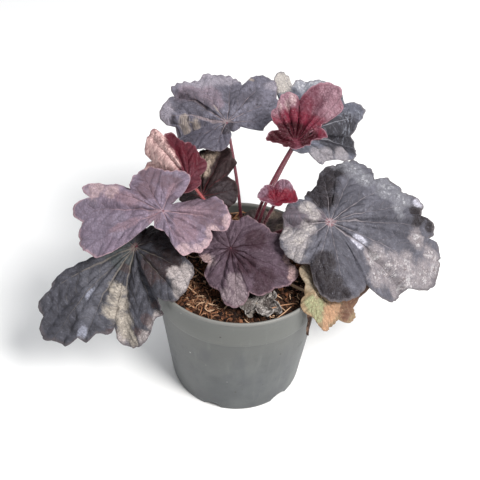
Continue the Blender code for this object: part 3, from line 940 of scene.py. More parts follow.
def under_finish(name, flesh, vein, rough=0.6):
    """Lower skin of a blade, duller, with the main veins standing out."""
    skin = Finish(name, specular=0.2)
    lobe = skin.add("ShaderNodeUVMap", {"uv_map": "lobe"})
    plan = skin.add("ShaderNodeUVMap", {"uv_map": "plan"})
    u = skin.part(lobe, 0) * UV_SPAN
    v = skin.part(lobe, 1) * UV_SPAN
    broad = skin.noise(plan, 0.09, 4.0)
    fine = skin.noise(plan, 0.011, 3.0, 0.6, 2.0)
    main = 1.0 - v.abs().step(0.35, 1.0)
    branch = ((u - v.abs() * SIDE_VEIN_SLANT) / SIDE_VEIN_PITCH + v.over(0.0) * 0.5).fract()
    side = (1.0 - ((branch - 0.5).abs() * 4.6).step(0.15, 0.6)) * u.step(3.0, 9.0)
    colour = skin.blend(flesh, tuple(c * 0.62 for c in flesh), broad.step(0.35, 0.7))
    colour = skin.blend(colour, vein, (main + side * 0.5).low(1.0) * 0.75)
    height = main * 0.8 + side * 0.5 + fine * 0.4
    return skin.feed(colour, rough + fine * 0.15, height, depth=0.0006, strength=0.8)


def stalk_finish(name, skin_colour, light, dark):
    """Skin of a stalk: darker and duller towards its foot, faintly ribbed along its length."""
    skin = Finish(name, specular=0.5)
    spot = skin.place()
    broad = skin.noise(spot, 0.012, 3.0)
    streak = skin.noise(skin.stretch(spot, (1.0, 1.0, 0.15)), 0.0007, 3.0, shift=2.0)
    colour = skin.blend(skin_colour, light, streak.step(0.45, 0.75) * 0.7)
    foot = 1.0 - skin.part(spot, 2).step(0.096, 0.118)
    colour = skin.blend(colour, dark, foot * 0.7 + broad.step(0.55, 0.75) * 0.3)
    return skin.feed(colour, 0.36 + streak * 0.25, streak, depth=0.0002, strength=0.7)


def make_leaf(name, leaf, top, under, stalk):
    """Builds a whole leaf as one piece and puts it in place of its plain one.

    Lengths in the leaf are millimetres and angles degrees. Its rim holds angle, length and slope at
    each notch and lobe in turn, its veins angle and length, and its laps angle, start, end, height
    and width. A mark is a set of soft spots: angle, reach and spread, and how far it is drawn out.
    """
    grid = blade_grid(leaf)
    spots = grid["spots"]
    rings = spots.shape[0] - 1
    steps = spots.shape[1]
    half = np.full(rings + 1, BLADE_THICKNESS / 2)
    half[-1] *= BRIM_PART
    upper = spots + grid["normal"] * half[:, None, None]
    lower = spots - grid["normal"] * half[:, None, None]
    away = spots[-1] - spots[-2]
    away /= np.maximum(np.linalg.norm(away, axis=-1, keepdims=True), 1e-9)
    brim = spots[-1] + away * BRIM_REACH

    verts = [upper[0, 0], *upper[1:].reshape(-1, 3), lower[0, 0], *lower[1:].reshape(-1, 3), *brim]
    low = 1 + rings * steps
    brim_start = 2 * low
    faces = []
    corners = []
    kinds = []
    columns = []

    def add_face(kind, column, face, places):
        """Adds a face to the upper (0) or lower (1) skin, with the grid places of its corners."""
        faces.append(face)
        corners.append(places)
        kinds.append(kind)
        columns.append(column)

    for j in range(steps):
        n = (j + 1) % steps
        add_face(0, j, (0, 1 + j, 1 + n), ((0, j), (1, j), (1, n)))
        add_face(1, j, (low, low + 1 + n, low + 1 + j), ((0, j), (1, n), (1, j)))
        for i in range(1, rings):
            a = 1 + (i - 1) * steps
            b = low + a
            places = ((i, j), (i + 1, j), (i + 1, n), (i, n))
            add_face(0, j, (a + j, a + steps + j, a + steps + n, a + n), places)
            add_face(1, j, (b + n, b + steps + n, b + steps + j, b + j), places[::-1])
        a = 1 + (rings - 1) * steps
        b = low + a
        places = ((rings, j), (rings, j), (rings, n), (rings, n))
        add_face(0, j, (a + j, brim_start + j, brim_start + n, a + n), places)
        add_face(1, j, (brim_start + j, b + j, b + n, brim_start + n), places)

    blade_verts = len(verts)
    blade_faces = len(faces)
    line = stalk_line(leaf, grid["up"], leaf.get("stalk_steps", 46))
    part = np.linspace(0, 1, len(line))
    radii = STALK_RADIUS - 0.3 * part + 0.25 * smooth(part, 0.93, 1.0)
    radii[-1] *= 0.45
    radii[-2] *= 0.8
    add_tube(verts, faces, line, radii)
    add_tube(*hair_roots, line[2:-4], radii[2:-4])
    mesh = bpy.data.meshes.new(name)
    mesh.from_pydata([tuple(p * MM) for p in verts], [], faces)

    # vein coordinates belong to whole columns, so each face carries its own
    owner = grid["owner"]
    tables = {own: grid["lobe"](np.full(steps, own), np.arange(steps)) for own in set(owner.tolist())}
    lobe_uv = np.zeros((len(mesh.loops), 2))
    plan_uv = np.zeros_like(lobe_uv)
    rim_uv = np.zeros_like(lobe_uv)
    k = 0
    for corner, column in zip(corners, columns):
        u, v, _ = tables[int(owner[column])]
        for i, j in corner:
            lobe_uv[k] = (u[i, j], v[i, j])
            plan_uv[k] = (grid["x"][i, j], grid["y"][i, j])
            rim_uv[k] = (j / steps, grid["edge"][i, j])
            k += 1
    for label, table in (("lobe", lobe_uv / UV_SPAN), ("plan", plan_uv / UV_SPAN), ("rim", rim_uv)):
        layer = mesh.uv_layers.new(name=label)
        layer.data.foreach_set("uv", table.astype(np.float32).ravel())

    marks = {"far": grid["far"][owner][None, :] + 0 * grid["x"]}
    for mark, places in leaf["marks"].items():
        value = np.zeros_like(grid["x"])
        for angle, reach, spread, *drawn in places:
            ray = np.array([math.cos(math.radians(angle)), math.sin(math.radians(angle))])
            out = (grid["x"] * ray[0] + grid["y"] * ray[1] - reach) / (drawn[0] if drawn else 1.0)
            across = grid["y"] * ray[0] - grid["x"] * ray[1]
            value = np.maximum(value, np.exp(-(out ** 2 + across ** 2) / spread ** 2 * 0.9))
        marks[mark] = value
    for mark, value in marks.items():
        layer = mesh.attributes.new(mark, "FLOAT", "POINT")
        skin = [[value[0, 0]], value[1:].ravel()]
        flat = np.concatenate([*skin, *skin, value[-1], np.zeros(len(verts) - blade_verts)])
        layer.data.foreach_set("value", flat.astype(np.float32))

    item = put(name, mesh, top, under, stalk)
    kinds += [2] * (len(faces) - blade_faces)
    mesh.polygons.foreach_set("material_index", kinds)
    mesh.shade_smooth()
    mesh.update()
    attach(item, "root")
    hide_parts(name)


crimson_stalk = stalk_finish(
    "crimson_stalk", (0.105, 0.012, 0.026), (0.23, 0.060, 0.080), (0.060, 0.008, 0.014),
)

make_leaf(
    "leaf_upper_left",
    {
        "at": (-12, 62, 170), "face": (95, 0, 0), "arch": 30, "foot": (0.5, 30), "rise": 125, "seed": 1.0,
        "laps": [(55, 12, 50, 1.6, 14), (-19, 6, 44, 1.0, 12), (77, 10, 42, -1.2, 12)],
        "rim": [
            (-118, 10, -2), (-108, 26, -2), (-92, 30, 3), (-62, 43, 4), (-49, 49, 7), (-32, 59, 6),
            (-19, 39, 8), (5, 54, 6), (23, 46, 11), (51, 49, 12), (54, 44, 6), (73, 49, -4),
            (76, 37, -13), (79, 38, -26), (118, 30, -26), (146, 23, -29), (203, 6, -29),
        ],
        "veins": [
            (-96, 28), (-60, 40), (-36, 54), (-8, 43), (30, 47), (54, 44), (73, 47), (104, 28), (150, 20),
        ],
        "marks": {
            "pale": [(12, 46, 12), (34, 46, 10), (22, 40, 9), (-4, 46, 9), (70, 47, 9), (-44, 50, 7)],
            "rosy": [(30, 27, 11), (46, 37, 9), (26, 18, 7)],
            "buff": [(76, 30, 2.6, 1.5), (79, 22, 2.0, 1.5), (36, 12, 1.6, 3), (-25, 48, 2.2)],
            # painted shade in the creases where the lobes lap over each other
            "painted_shade": [(54, 33, 9), (-19, 23, 9), (54, 21, 7), (-40, 30, 8)],
            # painted shadow: near-black spots in the gap at the heart and in one notch
            "black": [(-160, 2, 4.5), (77, 38, 3), (170, 6, 4)],
            # painted shade on the lower lobes, which slope down under the rest of the blade
            "painted_shade_lobe": [(120, 18, 12), (159, 14, 9), (98, 26, 10)],
        },
    },
    blade_finish(
        "upper_left_skin", flesh=(0.150, 0.143, 0.182), shade=(0.090, 0.085, 0.110),
        vein=(0.330, 0.260, 0.270), net=(0.061, 0.052, 0.063), margin=(0.165, 0.135, 0.158), freckle=0.85,
        freckle_colour=(0.030, 0.022, 0.028),
        patches=(
            # painted shade on the lower lobes
            ("painted_shade_lobe", (0.066, 0.060, 0.082), 0.9, 0.3, 6.0),
            ("pale", (0.370, 0.335, 0.385), 0.80, 0.6, 7.0),
            ("rosy", (0.235, 0.170, 0.205), 0.7, 0.5, 5.0),
            # painted shade in the lap creases
            ("painted_shade", (0.045, 0.040, 0.052), 0.65, 0.9, 4.0),
            ("buff", (0.399, 0.332, 0.285), 0.85, 0.8, 3.0),
            # painted shadow in the gap at the heart and in one notch
            ("black", (0.010, 0.006, 0.008), 0.9, 0.3, 3.0),
        ),
    ),
    under_finish("upper_left_under", (0.098, 0.056, 0.071), (0.225, 0.128, 0.143)),
    crimson_stalk,
)


# The upper right leaf: blue-grey with silver streaks, bleached nearly white
# on two lobes, and darkened below by painted shade. It stands behind the
# youngest leaf, on a stalk that rises close beside that leaf's own.
make_leaf(
    "leaf_upper_right",
    {
        "at": (39, 77, 150), "face": (50, 0, 10), "arch": 20, "foot": (11, 26.5), "rise": 124, "seed": 2.0,
        "laps": [(-25, 8, 46, 1.6, 10), (-40, 8, 40, 1.4, 8)],
        "rim": [
            (-94, 12, -30), (-72, 26, -30), (-53, 35, -23), (-29, 53, -20), (-25, 43, -10), (-22, 49, -4),
            (-20, 53, 4), (-16, 59, 8), (-4, 47, 13), (21, 56, 14), (31, 51, 16), (39, 52, 14),
            (51, 42, 18), (58, 56, 18), (72, 39, 18), (75, 27, 14), (93, 12, 14),
        ],
        "veins": [(-62, 27), (-29, 48), (-18, 56), (16, 52), (38, 50), (58, 54), (78, 26)],
        "marks": {
            "cream": [(64, 44, 9), (62, 52, 7), (56, 48, 7)],
            "white": [(42, 46, 9), (31, 49, 9), (20, 50, 8)],
            # painted shade on the lower lobes and in their lap creases
            "painted_shade": [(-30, 29, 12), (-27, 40, 11), (-30, 47, 8), (-24, 22, 9)],
            "silver": [(-62, 24, 7), (-46, 36, 7), (-76, 18, 7)],
            "streaks": [(-17, 40, 12), (-17, 52, 9)],
        },
    },
    blade_finish(
        "upper_right_skin", flesh=(0.110, 0.114, 0.148), shade=(0.062, 0.062, 0.080),
        vein=(0.312, 0.312, 0.351), net=(0.066, 0.066, 0.077), margin=(0.188, 0.173, 0.188), freckle=0.3,
        freckle_colour=(0.042, 0.039, 0.048),
        patches=(
            # painted shade, in two layers, on the lower lobes
            ("painted_shade", (0.026, 0.023, 0.029), 0.9, 0.4, 6.0),
            ("painted_shade", (0.018, 0.016, 0.020), 0.8, 0.5, 9.0, 0.1),
            ("silver", (0.330, 0.300, 0.320), 0.85, 0.6, 4.0),
            ("streaks", (0.300, 0.315, 0.370), 0.7, 3.0, 3.0, 0.6),
            ("white", (0.300, 0.300, 0.340), 0.9, 0.8, 5.0),
            ("white", (0.560, 0.560, 0.590), 0.9, 3.0, 2.6, 0.55),
            ("cream", (0.500, 0.455, 0.415), 0.95, 0.45, 3.0),
            ("cream", (0.250, 0.200, 0.140), 0.6, 3.2, 2.2, 0.9),
        ),
    ),
    under_finish("upper_right_under", (0.120, 0.098, 0.112), (0.240, 0.165, 0.180)),
    crimson_stalk,
)


# The young upright leaf at the top: thin and still cupped, burgundy pink
# with red freckles, deep crimson where its folds run down to the stalk it
# grows from.
make_leaf(
    "leaf_young_top",
    {
        "at": (33, 35, 175), "face": (60, 25, 0), "arch": -20, "foot": (7, 21.5), "rise": 125, "seed": 3.0,
        "fold": 1.8,
        "laps": [(17, 3, 34, 2.2, 12), (90, 3, 16, 1.5, 14), (-32, 3, 24, 1.6, 12)],
        "grid": (260, 36), "pitch": 5.5, "ruffle": 0.8, "teeth": 0.7,
        "rim": [
            (-94, 7, -2), (-72, 10, -2), (-57, 14, -2), (-49, 21, -6), (-32, 19, 0), (-26, 40, 2),
            (-23, 40, 11), (-17, 45, 16), (16, 26, 29), (32, 32, 38), (48, 30, 40), (65, 25, 38),
            (88, 13, 32), (120, 19, 22), (134, 13, 24), (145, 9, 22), (169, 7, 22),
        ],
        "veins": [
            (-74, 10), (-48, 19), (-22, 38), (-8, 38), (16, 26), (38, 31), (64, 24), (117, 18), (150, 9),
        ],
        "marks": {
            "deep": [
                (84, 11, 6), (96, 13, 6), (40, 8, 6), (8, 7, 6), (-60, 8, 6), (117, 13, 6), (-41, 12, 4),
                (150, 6, 6),
            ],
            "wine": [(84, 12, 11), (8, 9, 12), (-55, 10, 9), (118, 12, 9), (-30, 16, 8), (40, 14, 9)],
            "red": [(10, 18, 7), (8, 25, 6), (-7, 17, 6), (30, 14, 6)],
            "cream": [(38, 24, 3.5, 1.6), (52, 26, 3.0, 1.6), (28, 28, 3.5, 1.5)],
            "light": [(-14, 40, 9), (39, 28, 7), (-24, 33, 7), (62, 20, 5)],
        },
    },
    blade_finish(
        "young_top_skin", flesh=(0.205, 0.104, 0.132), shade=(0.118, 0.038, 0.058),
        vein=(0.085, 0.008, 0.020), net=(0.070, 0.008, 0.018), margin=(0.280, 0.150, 0.185), freckle=0.6,
        freckle_colour=(0.084, 0.012, 0.021), pitch=5.5, rough=0.46,
        patches=(
            ("light", (0.330, 0.205, 0.245), 0.75, 0.6, 5.0),
            ("cream", (0.450, 0.330, 0.340), 0.85, 1.6, 3.0, 0.2),
            ("red", (0.115, 0.012, 0.026), 0.75, 1.1, 3.0),
            ("wine", (0.150, 0.010, 0.026), 0.90, 0.7, 5.0),
            ("deep", (0.040, 0.000, 0.004), 0.97, 0.4, 4.0),
            ("deep", (0.022, 0.000, 0.001), 0.95, 0.6, 7.0),
        ),
    ),
    under_finish("young_top_under", (0.225, 0.098, 0.124), (0.315, 0.165, 0.195), rough=0.5),
    crimson_stalk,
)


# The smallest leaf: a soft blade folded up like a cup, dark crimson inside
# with mauve-pink lobes, grown in one with the shorter of the two crimson
# stalks in the middle.
make_leaf(
    "leaf_young_small",
    {
        "at": (22, 3, 150), "face": (60, 10, 0), "arch": -10, "foot": (12.5, 18.5), "rise": 115,
        "seed": 4.0, "fold": 0.8,
        "laps": [(39, 2, 14, 1.4, 14)],
        "grid": (200, 26), "pitch": 4.0, "ruffle": 0.6, "teeth": 0.6,
        "rim": [
            (-57, 4, -10), (-40, 15, -10), (-25, 14, 15), (-6, 16, 36), (39, 10, 41), (74, 13, 42),
            (102, 13, 36), (112, 13, 25), (148, 5, 25),
        ],
        "veins": [(-38, 14), (-8, 15), (34, 11), (76, 12), (104, 12), (160, 6)],
        "marks": {
            "deep": [(40, 4, 5), (-34, 8, 5), (-40, 13, 4), (60, 5, 4), (-90, 4, 5)],
            "light": [(0, 14, 5), (86, 12, 4), (100, 12, 4)],
        },
    },
    blade_finish(
        "young_small_skin", flesh=(0.150, 0.060, 0.085), shade=(0.085, 0.014, 0.028),
        vein=(0.085, 0.004, 0.014), net=(0.055, 0.007, 0.014), margin=(0.320, 0.210, 0.250), freckle=0.4,
        freckle_colour=(0.072, 0.009, 0.018), pitch=4.0, rough=0.44,
        patches=(
            ("light", (0.190, 0.120, 0.160), 0.85, 0.5, 3.0),
            ("deep", (0.150, 0.001, 0.012), 0.95, 0.4, 3.0),
        ),
    ),
    under_finish("young_small_under", (0.158, 0.075, 0.105), (0.255, 0.128, 0.158), rough=0.5),
    crimson_stalk,
)


# The largest leaf, spread over the whole right side: slate grey with fine
# pale veins from a pinkish heart, silver and cream mottling on several lobes
# and painted shade that makes its lower lobe nearly black where it turns from
# the light.
make_leaf(
    "leaf_right",
    {
        "at": (57, 0, 138), "face": (5, -14, 14), "arch": 30, "foot": (9.5, 13), "rise": 116, "seed": 5.0,
        "grid": (440, 60), "pitch": 9.0,
        "laps": [
            (17, 34, 76, -1.8, 8), (8, 60, 86, -1.2, 5), (-112, 10, 36, 1.5, 12), (80, 8, 58, -1.2, 10),
            (-45, 14, 52, 1.0, 10),
        ],
        "rim": [
            (-176, 30, -26), (-143, 36, -26), (-110, 31, -22), (-75, 52, -24), (-45, 48, -23),
            (-24, 74, -26), (-21, 73, -19), (-8, 93, -16), (0, 92, -13), (5, 95, -14), (8, 81, -9),
            (13, 87, -8), (16, 70, -1), (21, 74, 2), (31, 63, 4), (44, 65, 2), (50, 52, 3), (66, 63, 0),
            (74, 57, 0), (80, 54, -4), (98, 37, -5), (112, 29, -10), (132, 22, -9), (153, 30, -12),
            (174, 31, -12),
        ],
        "veins": [
            (-174, 31), (-140, 34), (-102, 37), (-73, 51), (-23, 73), (-9, 90), (12, 86), (22, 74),
            (42, 62), (68, 58), (92, 43), (119, 26), (158, 29),
        ],
        "marks": {
            # painted shade on the lobes turned from the light and in a lap crease
            "painted_shade": [
                (94, 33, 11), (108, 26, 8), (-99, 35, 10), (-84, 42, 11), (-94, 28, 9), (81, 46, 9),
                (-80, 51, 9), (-70, 48, 6), (-97, 42, 9), (100, 18, 9), (17, 68, 7), (14, 82, 5),
            ],
            "shade": [(-70, 30, 13), (-50, 34, 12), (8, 60, 16), (14, 40, 12), (60, 25, 12), (-60, 15, 9)],
            "silver": [
                (68, 50, 9), (76, 54, 8), (42, 56, 9), (28, 58, 9), (56, 46, 8), (36, 48, 7), (20, 52, 5),
            ],
            "cream": [(-148, 24, 9), (-134, 32, 7), (-160, 15, 6), (158, 11, 5), (148, 17, 6), (-166, 29, 6)],
            "rosy": [(178, 18, 7), (166, 25, 7), (179, 27, 6), (150, 8, 5)],
            "white": [(23, 73, 4, 1.6), (-21, 23, 3.6, 1.6)],
            "mottle": [
                (-22, 53, 12), (-11, 80, 12), (0, 82, 9), (-20, 68, 11), (-24, 38, 9), (5, 68, 8),
                (-14, 62, 10),
                (-5, 88, 8), (-34, 48, 8),
            ],
            "heart": [(0, 0, 3.2)],
        },
    },
    blade_finish(
        "right_skin", flesh=(0.118, 0.116, 0.142), shade=(0.078, 0.076, 0.094),
        vein=(0.340, 0.300, 0.320), net=(0.061, 0.055, 0.063), margin=(0.120, 0.105, 0.112), freckle=0.4,
        freckle_colour=(0.045, 0.039, 0.045), pitch=9.0,
        patches=(
            ("shade", (0.058, 0.057, 0.072), 0.75, 0.6, 8.0),
            # painted shade, in two layers, nearly black on the lower lobe
            ("painted_shade", (0.018, 0.013, 0.014), 0.9, 0.5, 6.0),
            ("painted_shade", (0.010, 0.006, 0.007), 0.9, 0.4, 11.0, 0.1),
            ("rosy", (0.120, 0.090, 0.108), 0.85, 0.4, 5.0),
            ("silver", (0.210, 0.210, 0.235), 0.80, 0.8, 6.0),
            ("silver", (0.430, 0.430, 0.455), 0.90, 3.2, 2.6, 0.62),
            ("mottle", (0.300, 0.265, 0.275), 0.85, 1.2, 8.0),
            ("mottle", (0.520, 0.500, 0.510), 0.95, 3.4, 4.5, 0.62),
            ("mottle", (0.130, 0.090, 0.090), 0.75, 3.6, 3.0, 0.74),
            ("mottle", (0.640, 0.590, 0.590), 0.90, 4.0, 1.7, 0.80),
            ("cream", (0.360, 0.325, 0.325), 0.9, 0.8, 4.5),
            ("cream", (0.560, 0.510, 0.480), 0.9, 3.0, 2.4, 0.55),
            ("cream", (0.170, 0.130, 0.130), 0.6, 3.6, 2.0, 0.85),
            ("white", (0.580, 0.570, 0.660), 0.95, 0.35, 3.0),
            ("heart", (0.272, 0.096, 0.104), 0.9, 0.3, 2.0),
        ),
    ),
    under_finish("right_under", (0.075, 0.041, 0.053), (0.195, 0.098, 0.105)),
    crimson_stalk,
)


# The front leaf: a plum blade with darker veins, sloping down over the
# compost toward the front of the pot, its lower lobes paler and pinker. Its
# stalk rises from the middle of the compost.
make_leaf(
    "leaf_front",
    {
        "at": (-6, -10, 121), "face": (-80, -35, 0), "arch": 25, "foot": (0.5, 13), "rise": 106, "seed": 6.0,
        "laps": [(14, 8, 36, 1.4, 10), (-42, 6, 26, 1.2, 14), (106, 6, 32, 1.2, 12)],
        "grid": (300, 40), "pitch": 6.5, "relief": 1.25,
        "rim": [
            (-187, 19, 0), (-172, 24, 0), (-146, 17, 0), (-89, 21, -4), (-61, 18, 3), (-26, 29, 6),
            (-16, 36, 11), (-3, 41, 12), (14, 33, 13), (35, 39, 10), (46, 43, 9), (63, 47, 4), (71, 39, 4),
            (95, 36, 0), (107, 29, 3), (145, 25, 2), (159, 19, 2),
        ],
        "veins": [
            (-172, 23), (-120, 14), (-89, 20), (-64, 18), (-22, 31), (0, 39), (24, 35), (44, 42), (62, 45),
            (94, 35), (142, 24),
        ],
        "marks": {
            "pale": [(-1, 24, 6), (1, 36, 6), (-14, 33, 5), (-64, 17, 5), (4, 30, 5)],
            "pink": [(66, 44, 5), (58, 45, 4), (74, 38, 4), (-70, 18, 4)],
            # painted shade at the heart and by the lap creases
            "painted_shade": [(28, 35, 7), (104, 17, 8), (12, 3, 5), (31, 16, 8), (40, 30, 8)],
        },
    },
    blade_finish(
        "front_skin", flesh=(0.082, 0.052, 0.072), shade=(0.052, 0.028, 0.040),
        vein=(0.028, 0.006, 0.012), net=(0.033, 0.019, 0.025), margin=(0.220, 0.140, 0.160), freckle=0.3,
        freckle_colour=(0.030, 0.015, 0.021), halo=(0.128, 0.090, 0.115), vein_show=0.8, pitch=6.5,
        patches=(
            # painted shade at the heart and by the lap creases
            ("painted_shade", (0.030, 0.010, 0.015), 0.8, 0.5, 5.0),
            ("pale", (0.260, 0.205, 0.220), 0.85, 0.7, 3.0),
            ("pink", (0.440, 0.300, 0.290), 0.85, 0.5, 3.0),
        ),
    ),
    under_finish("front_under", (0.083, 0.038, 0.049), (0.180, 0.090, 0.105)),
    crimson_stalk,
)


# The left leaf: a mauve-grey blade, pinker toward the middle of the plant,
# with a pale pink edge on the lobes that hang to the right. Its stalk leans
# out from the middle of the compost.
make_leaf(
    "leaf_left",
    {
        "at": (-49, -10, 150), "face": (180, -5, 0), "arch": 25, "foot": (-9.5, 13), "rise": 116, "seed": 7.0,
        "laps": [(-31, 8, 40, 1.4, 12), (-15, 22, 50, 1.2, 7), (160, 8, 36, 1.0, 12)],
        "grid": (340, 46), "pitch": 8.0,
        "rim": [
            (-134, 7, 8), (-115, 34, 12), (-90, 31, 17), (-65, 35, 18), (-34, 27, 16), (-31, 39, 10),
            (-25, 47, 11), (-18, 56, 8), (-15, 47, 3), (-10, 62, -6), (-4, 54, -10), (7, 58, -18),
            (17, 56, -18), (20, 53, -22), (42, 7, -22), (94, 13, -26), (109, 23, -26), (122, 32, -30),
            (137, 36, -26), (154, 36, -26), (168, 32, -20), (177, 43, -18), (185, 43, -12), (202, 42, -10),
            (211, 37, -10),
        ],
        "veins": [
            (-168, 40), (-108, 32), (-60, 34), (-19, 54), (-8, 60), (16, 55), (118, 29), (146, 35),
            (-180, 42),
        ],
        "marks": {
            "rosy": [
                (143, 20, 9), (41, 7, 5), (-172, 20, 4, 3), (152, 14, 6), (-19, 25, 3, 4), (14, 25, 3, 4),
                (-108, 16, 2.5, 3),
            ],
            "pale": [
                (136, 35, 6), (152, 36, 5), (-179, 43, 5), (122, 29, 5), (-20, 47, 6), (166, 34, 5),
                (-22, 36, 5),
            ],
            "blue": [(-10, 50, 11), (2, 42, 10), (14, 48, 10), (-100, 26, 7), (10, 30, 9)],
            "plum": [
                (-165, 32, 10), (-178, 26, 9), (174, 36, 8), (-160, 21, 8), (-70, 28, 9), (-50, 18, 8),
                (-100, 22, 8),
            ],
            # painted shade near the gap at the heart
            "painted_shade": [(-152, 16, 5, 2), (-150, 30, 5), (-125, 10, 4)],
        },
    },
    blade_finish(
        "left_skin", flesh=(0.190, 0.145, 0.195), shade=(0.145, 0.112, 0.152), vein=(0.360, 0.240, 0.270),
        net=(0.091, 0.063, 0.080), margin=(0.400, 0.260, 0.290), freckle=0.25,
        freckle_colour=(0.072, 0.051, 0.066), pitch=8.0,
        patches=(
            ("blue", (0.205, 0.172, 0.225), 0.8, 0.6, 7.0),
            ("plum", (0.115, 0.070, 0.085), 0.9, 0.7, 6.0),
            # painted shade near the gap at the heart
            ("painted_shade", (0.060, 0.036, 0.050), 0.7, 0.5, 4.0),
            ("rosy", (0.225, 0.145, 0.175), 0.85, 0.6, 6.0),
            ("pale", (0.500, 0.360, 0.370), 0.8, 0.7, 3.0),
        ),
    ),
    under_finish("left_under", (0.120, 0.053, 0.071), (0.240, 0.128, 0.150)),
    crimson_stalk,
)


# The young red leaf behind it: a thin new blade, grown in one with a bright
# red stalk. One half is painted pale pink with red freckles as painted
# sunlight, and the other is darkened to deep red as painted shade over the
# blade's own red.
bright_stalk = stalk_finish("bright_stalk", (0.300, 0.055, 0.060), (0.46, 0.19, 0.17), (0.15, 0.020, 0.028))
make_leaf(
    "leaf_young_red",
    {
        "at": (-35, 20, 152), "face": (130, 10, 0), "arch": 10, "foot": (-11, 18.5), "rise": 118, "seed": 8.0,
        "laps": [(-4, 5, 40, 2.0, 8), (-24, 8, 32, 1.4, 10)],
        "grid": (260, 36), "pitch": 6.0, "ruffle": 1.0, "teeth": 1.15,
        "rim": [
            (-100, 8, 12), (-62, 20, 12), (-46, 25, 15), (-32, 30, 14), (-22, 29, 16), (-14, 38, 14),
            (-5, 36, 16), (-2, 44, 14), (5, 45, 6), (8, 42, -6), (11, 34, -13), (14, 41, -24), (41, 15, -24),
        ],
        "veins": [(-62, 19), (-30, 28), (-13, 37), (3, 43), (13, 37), (60, 12)],
        "marks": {
            # painted light: the pink half is painted as sunlit
            "pink": [(3, 40, 8), (8, 27, 6), (12, 37, 7), (0, 44, 6), (10, 15, 5), (6, 34, 7), (5, 21, 5)],
            # painted shade: red and deep darken the other half over the blade's own red
            "red": [(-10, 30, 7), (-28, 23, 7), (-12, 18, 6), (-50, 15, 8), (-14, 36, 6), (-30, 14, 6)],
            "deep": [(-20, 22, 5), (-8, 22, 4), (-44, 17, 4)],
        },
    },
    blade_finish(
        "young_red_skin", flesh=(0.095, 0.026, 0.038), shade=(0.060, 0.010, 0.018),
        vein=(0.200, 0.045, 0.060), net=(0.100, 0.012, 0.020), margin=(0.210, 0.090, 0.105), freckle=0.9,
        freckle_colour=(0.120, 0.018, 0.027), pitch=6.0, rough=0.46,
        patches=(
            # painted shade on the red half, over its own red
            ("red", (0.066, 0.007, 0.014), 0.9, 0.6, 4.0),
            ("deep", (0.075, 0.003, 0.010), 0.85, 0.8, 3.0),
            # painted sunlight on the pink half; the second layer adds red freckles
            ("pink", (0.780, 0.540, 0.510), 0.95, 0.5, 3.5),
            ("pink", (0.300, 0.060, 0.070), 0.75, 3.2, 2.2, 0.95),
        ),
    ),
    under_finish("young_red_under", (0.225, 0.098, 0.109), (0.315, 0.150, 0.165), rough=0.5),
    bright_stalk,
)


# The dark leaf at the back: an older blade, nearly black brown-green, with
# one dried beige patch. It stands steeply between the others on a red stalk.
make_leaf(
    "leaf_dark_back",
    {
        "at": (-27, 24, 136), "face": (80, 34, 0), "arch": 20, "foot": (-5.5, 24.5), "rise": 110, "seed": 9.0,
        "laps": [(-3, 5, 36, 1.6, 12), (-42, 5, 26, 1.4, 12)],
        "grid": (260, 36), "pitch": 6.5, "relief": 1.1,
        "rim": [
            (-102, 20, -4), (-68, 25, -4), (-42, 22, 2), (-37, 33, 4), (-26, 35, 3), (-12, 39, -2),
            (-3, 34, -1), (8, 35, -4), (18, 29, -6), (35, 29, -12), (58, 20, -12), (90, 17, -16),
            (125, 9, -16),
        ],
        "veins": [(-70, 24), (-38, 31), (-14, 37), (8, 34), (32, 28), (86, 16)],
        "marks": {
            "buff": [(2, 27, 5.5, 1.3), (3, 18, 4, 1.4), (-2, 32, 5)],
            "green": [(86, 9, 7), (-68, 15, 8), (-80, 18, 6)],
        },
    },
    blade_finish(
        "dark_back_skin", flesh=(0.026, 0.013, 0.014), shade=(0.014, 0.006, 0.007),
        vein=(0.105, 0.022, 0.026), net=(0.012, 0.007, 0.007), margin=(0.053, 0.034, 0.034), freckle=0.3,
        freckle_colour=(0.012, 0.006, 0.007), vein_show=0.6, pitch=6.5, rough=0.58,
        patches=(
            ("green", (0.055, 0.044, 0.050), 0.8, 0.6, 5.0),
            ("buff", (0.360, 0.280, 0.225), 0.92, 0.45, 3.0),
        ),
    ),
    under_finish("dark_back_under", (0.068, 0.034, 0.041), (0.165, 0.068, 0.075)),
    bright_stalk,
)


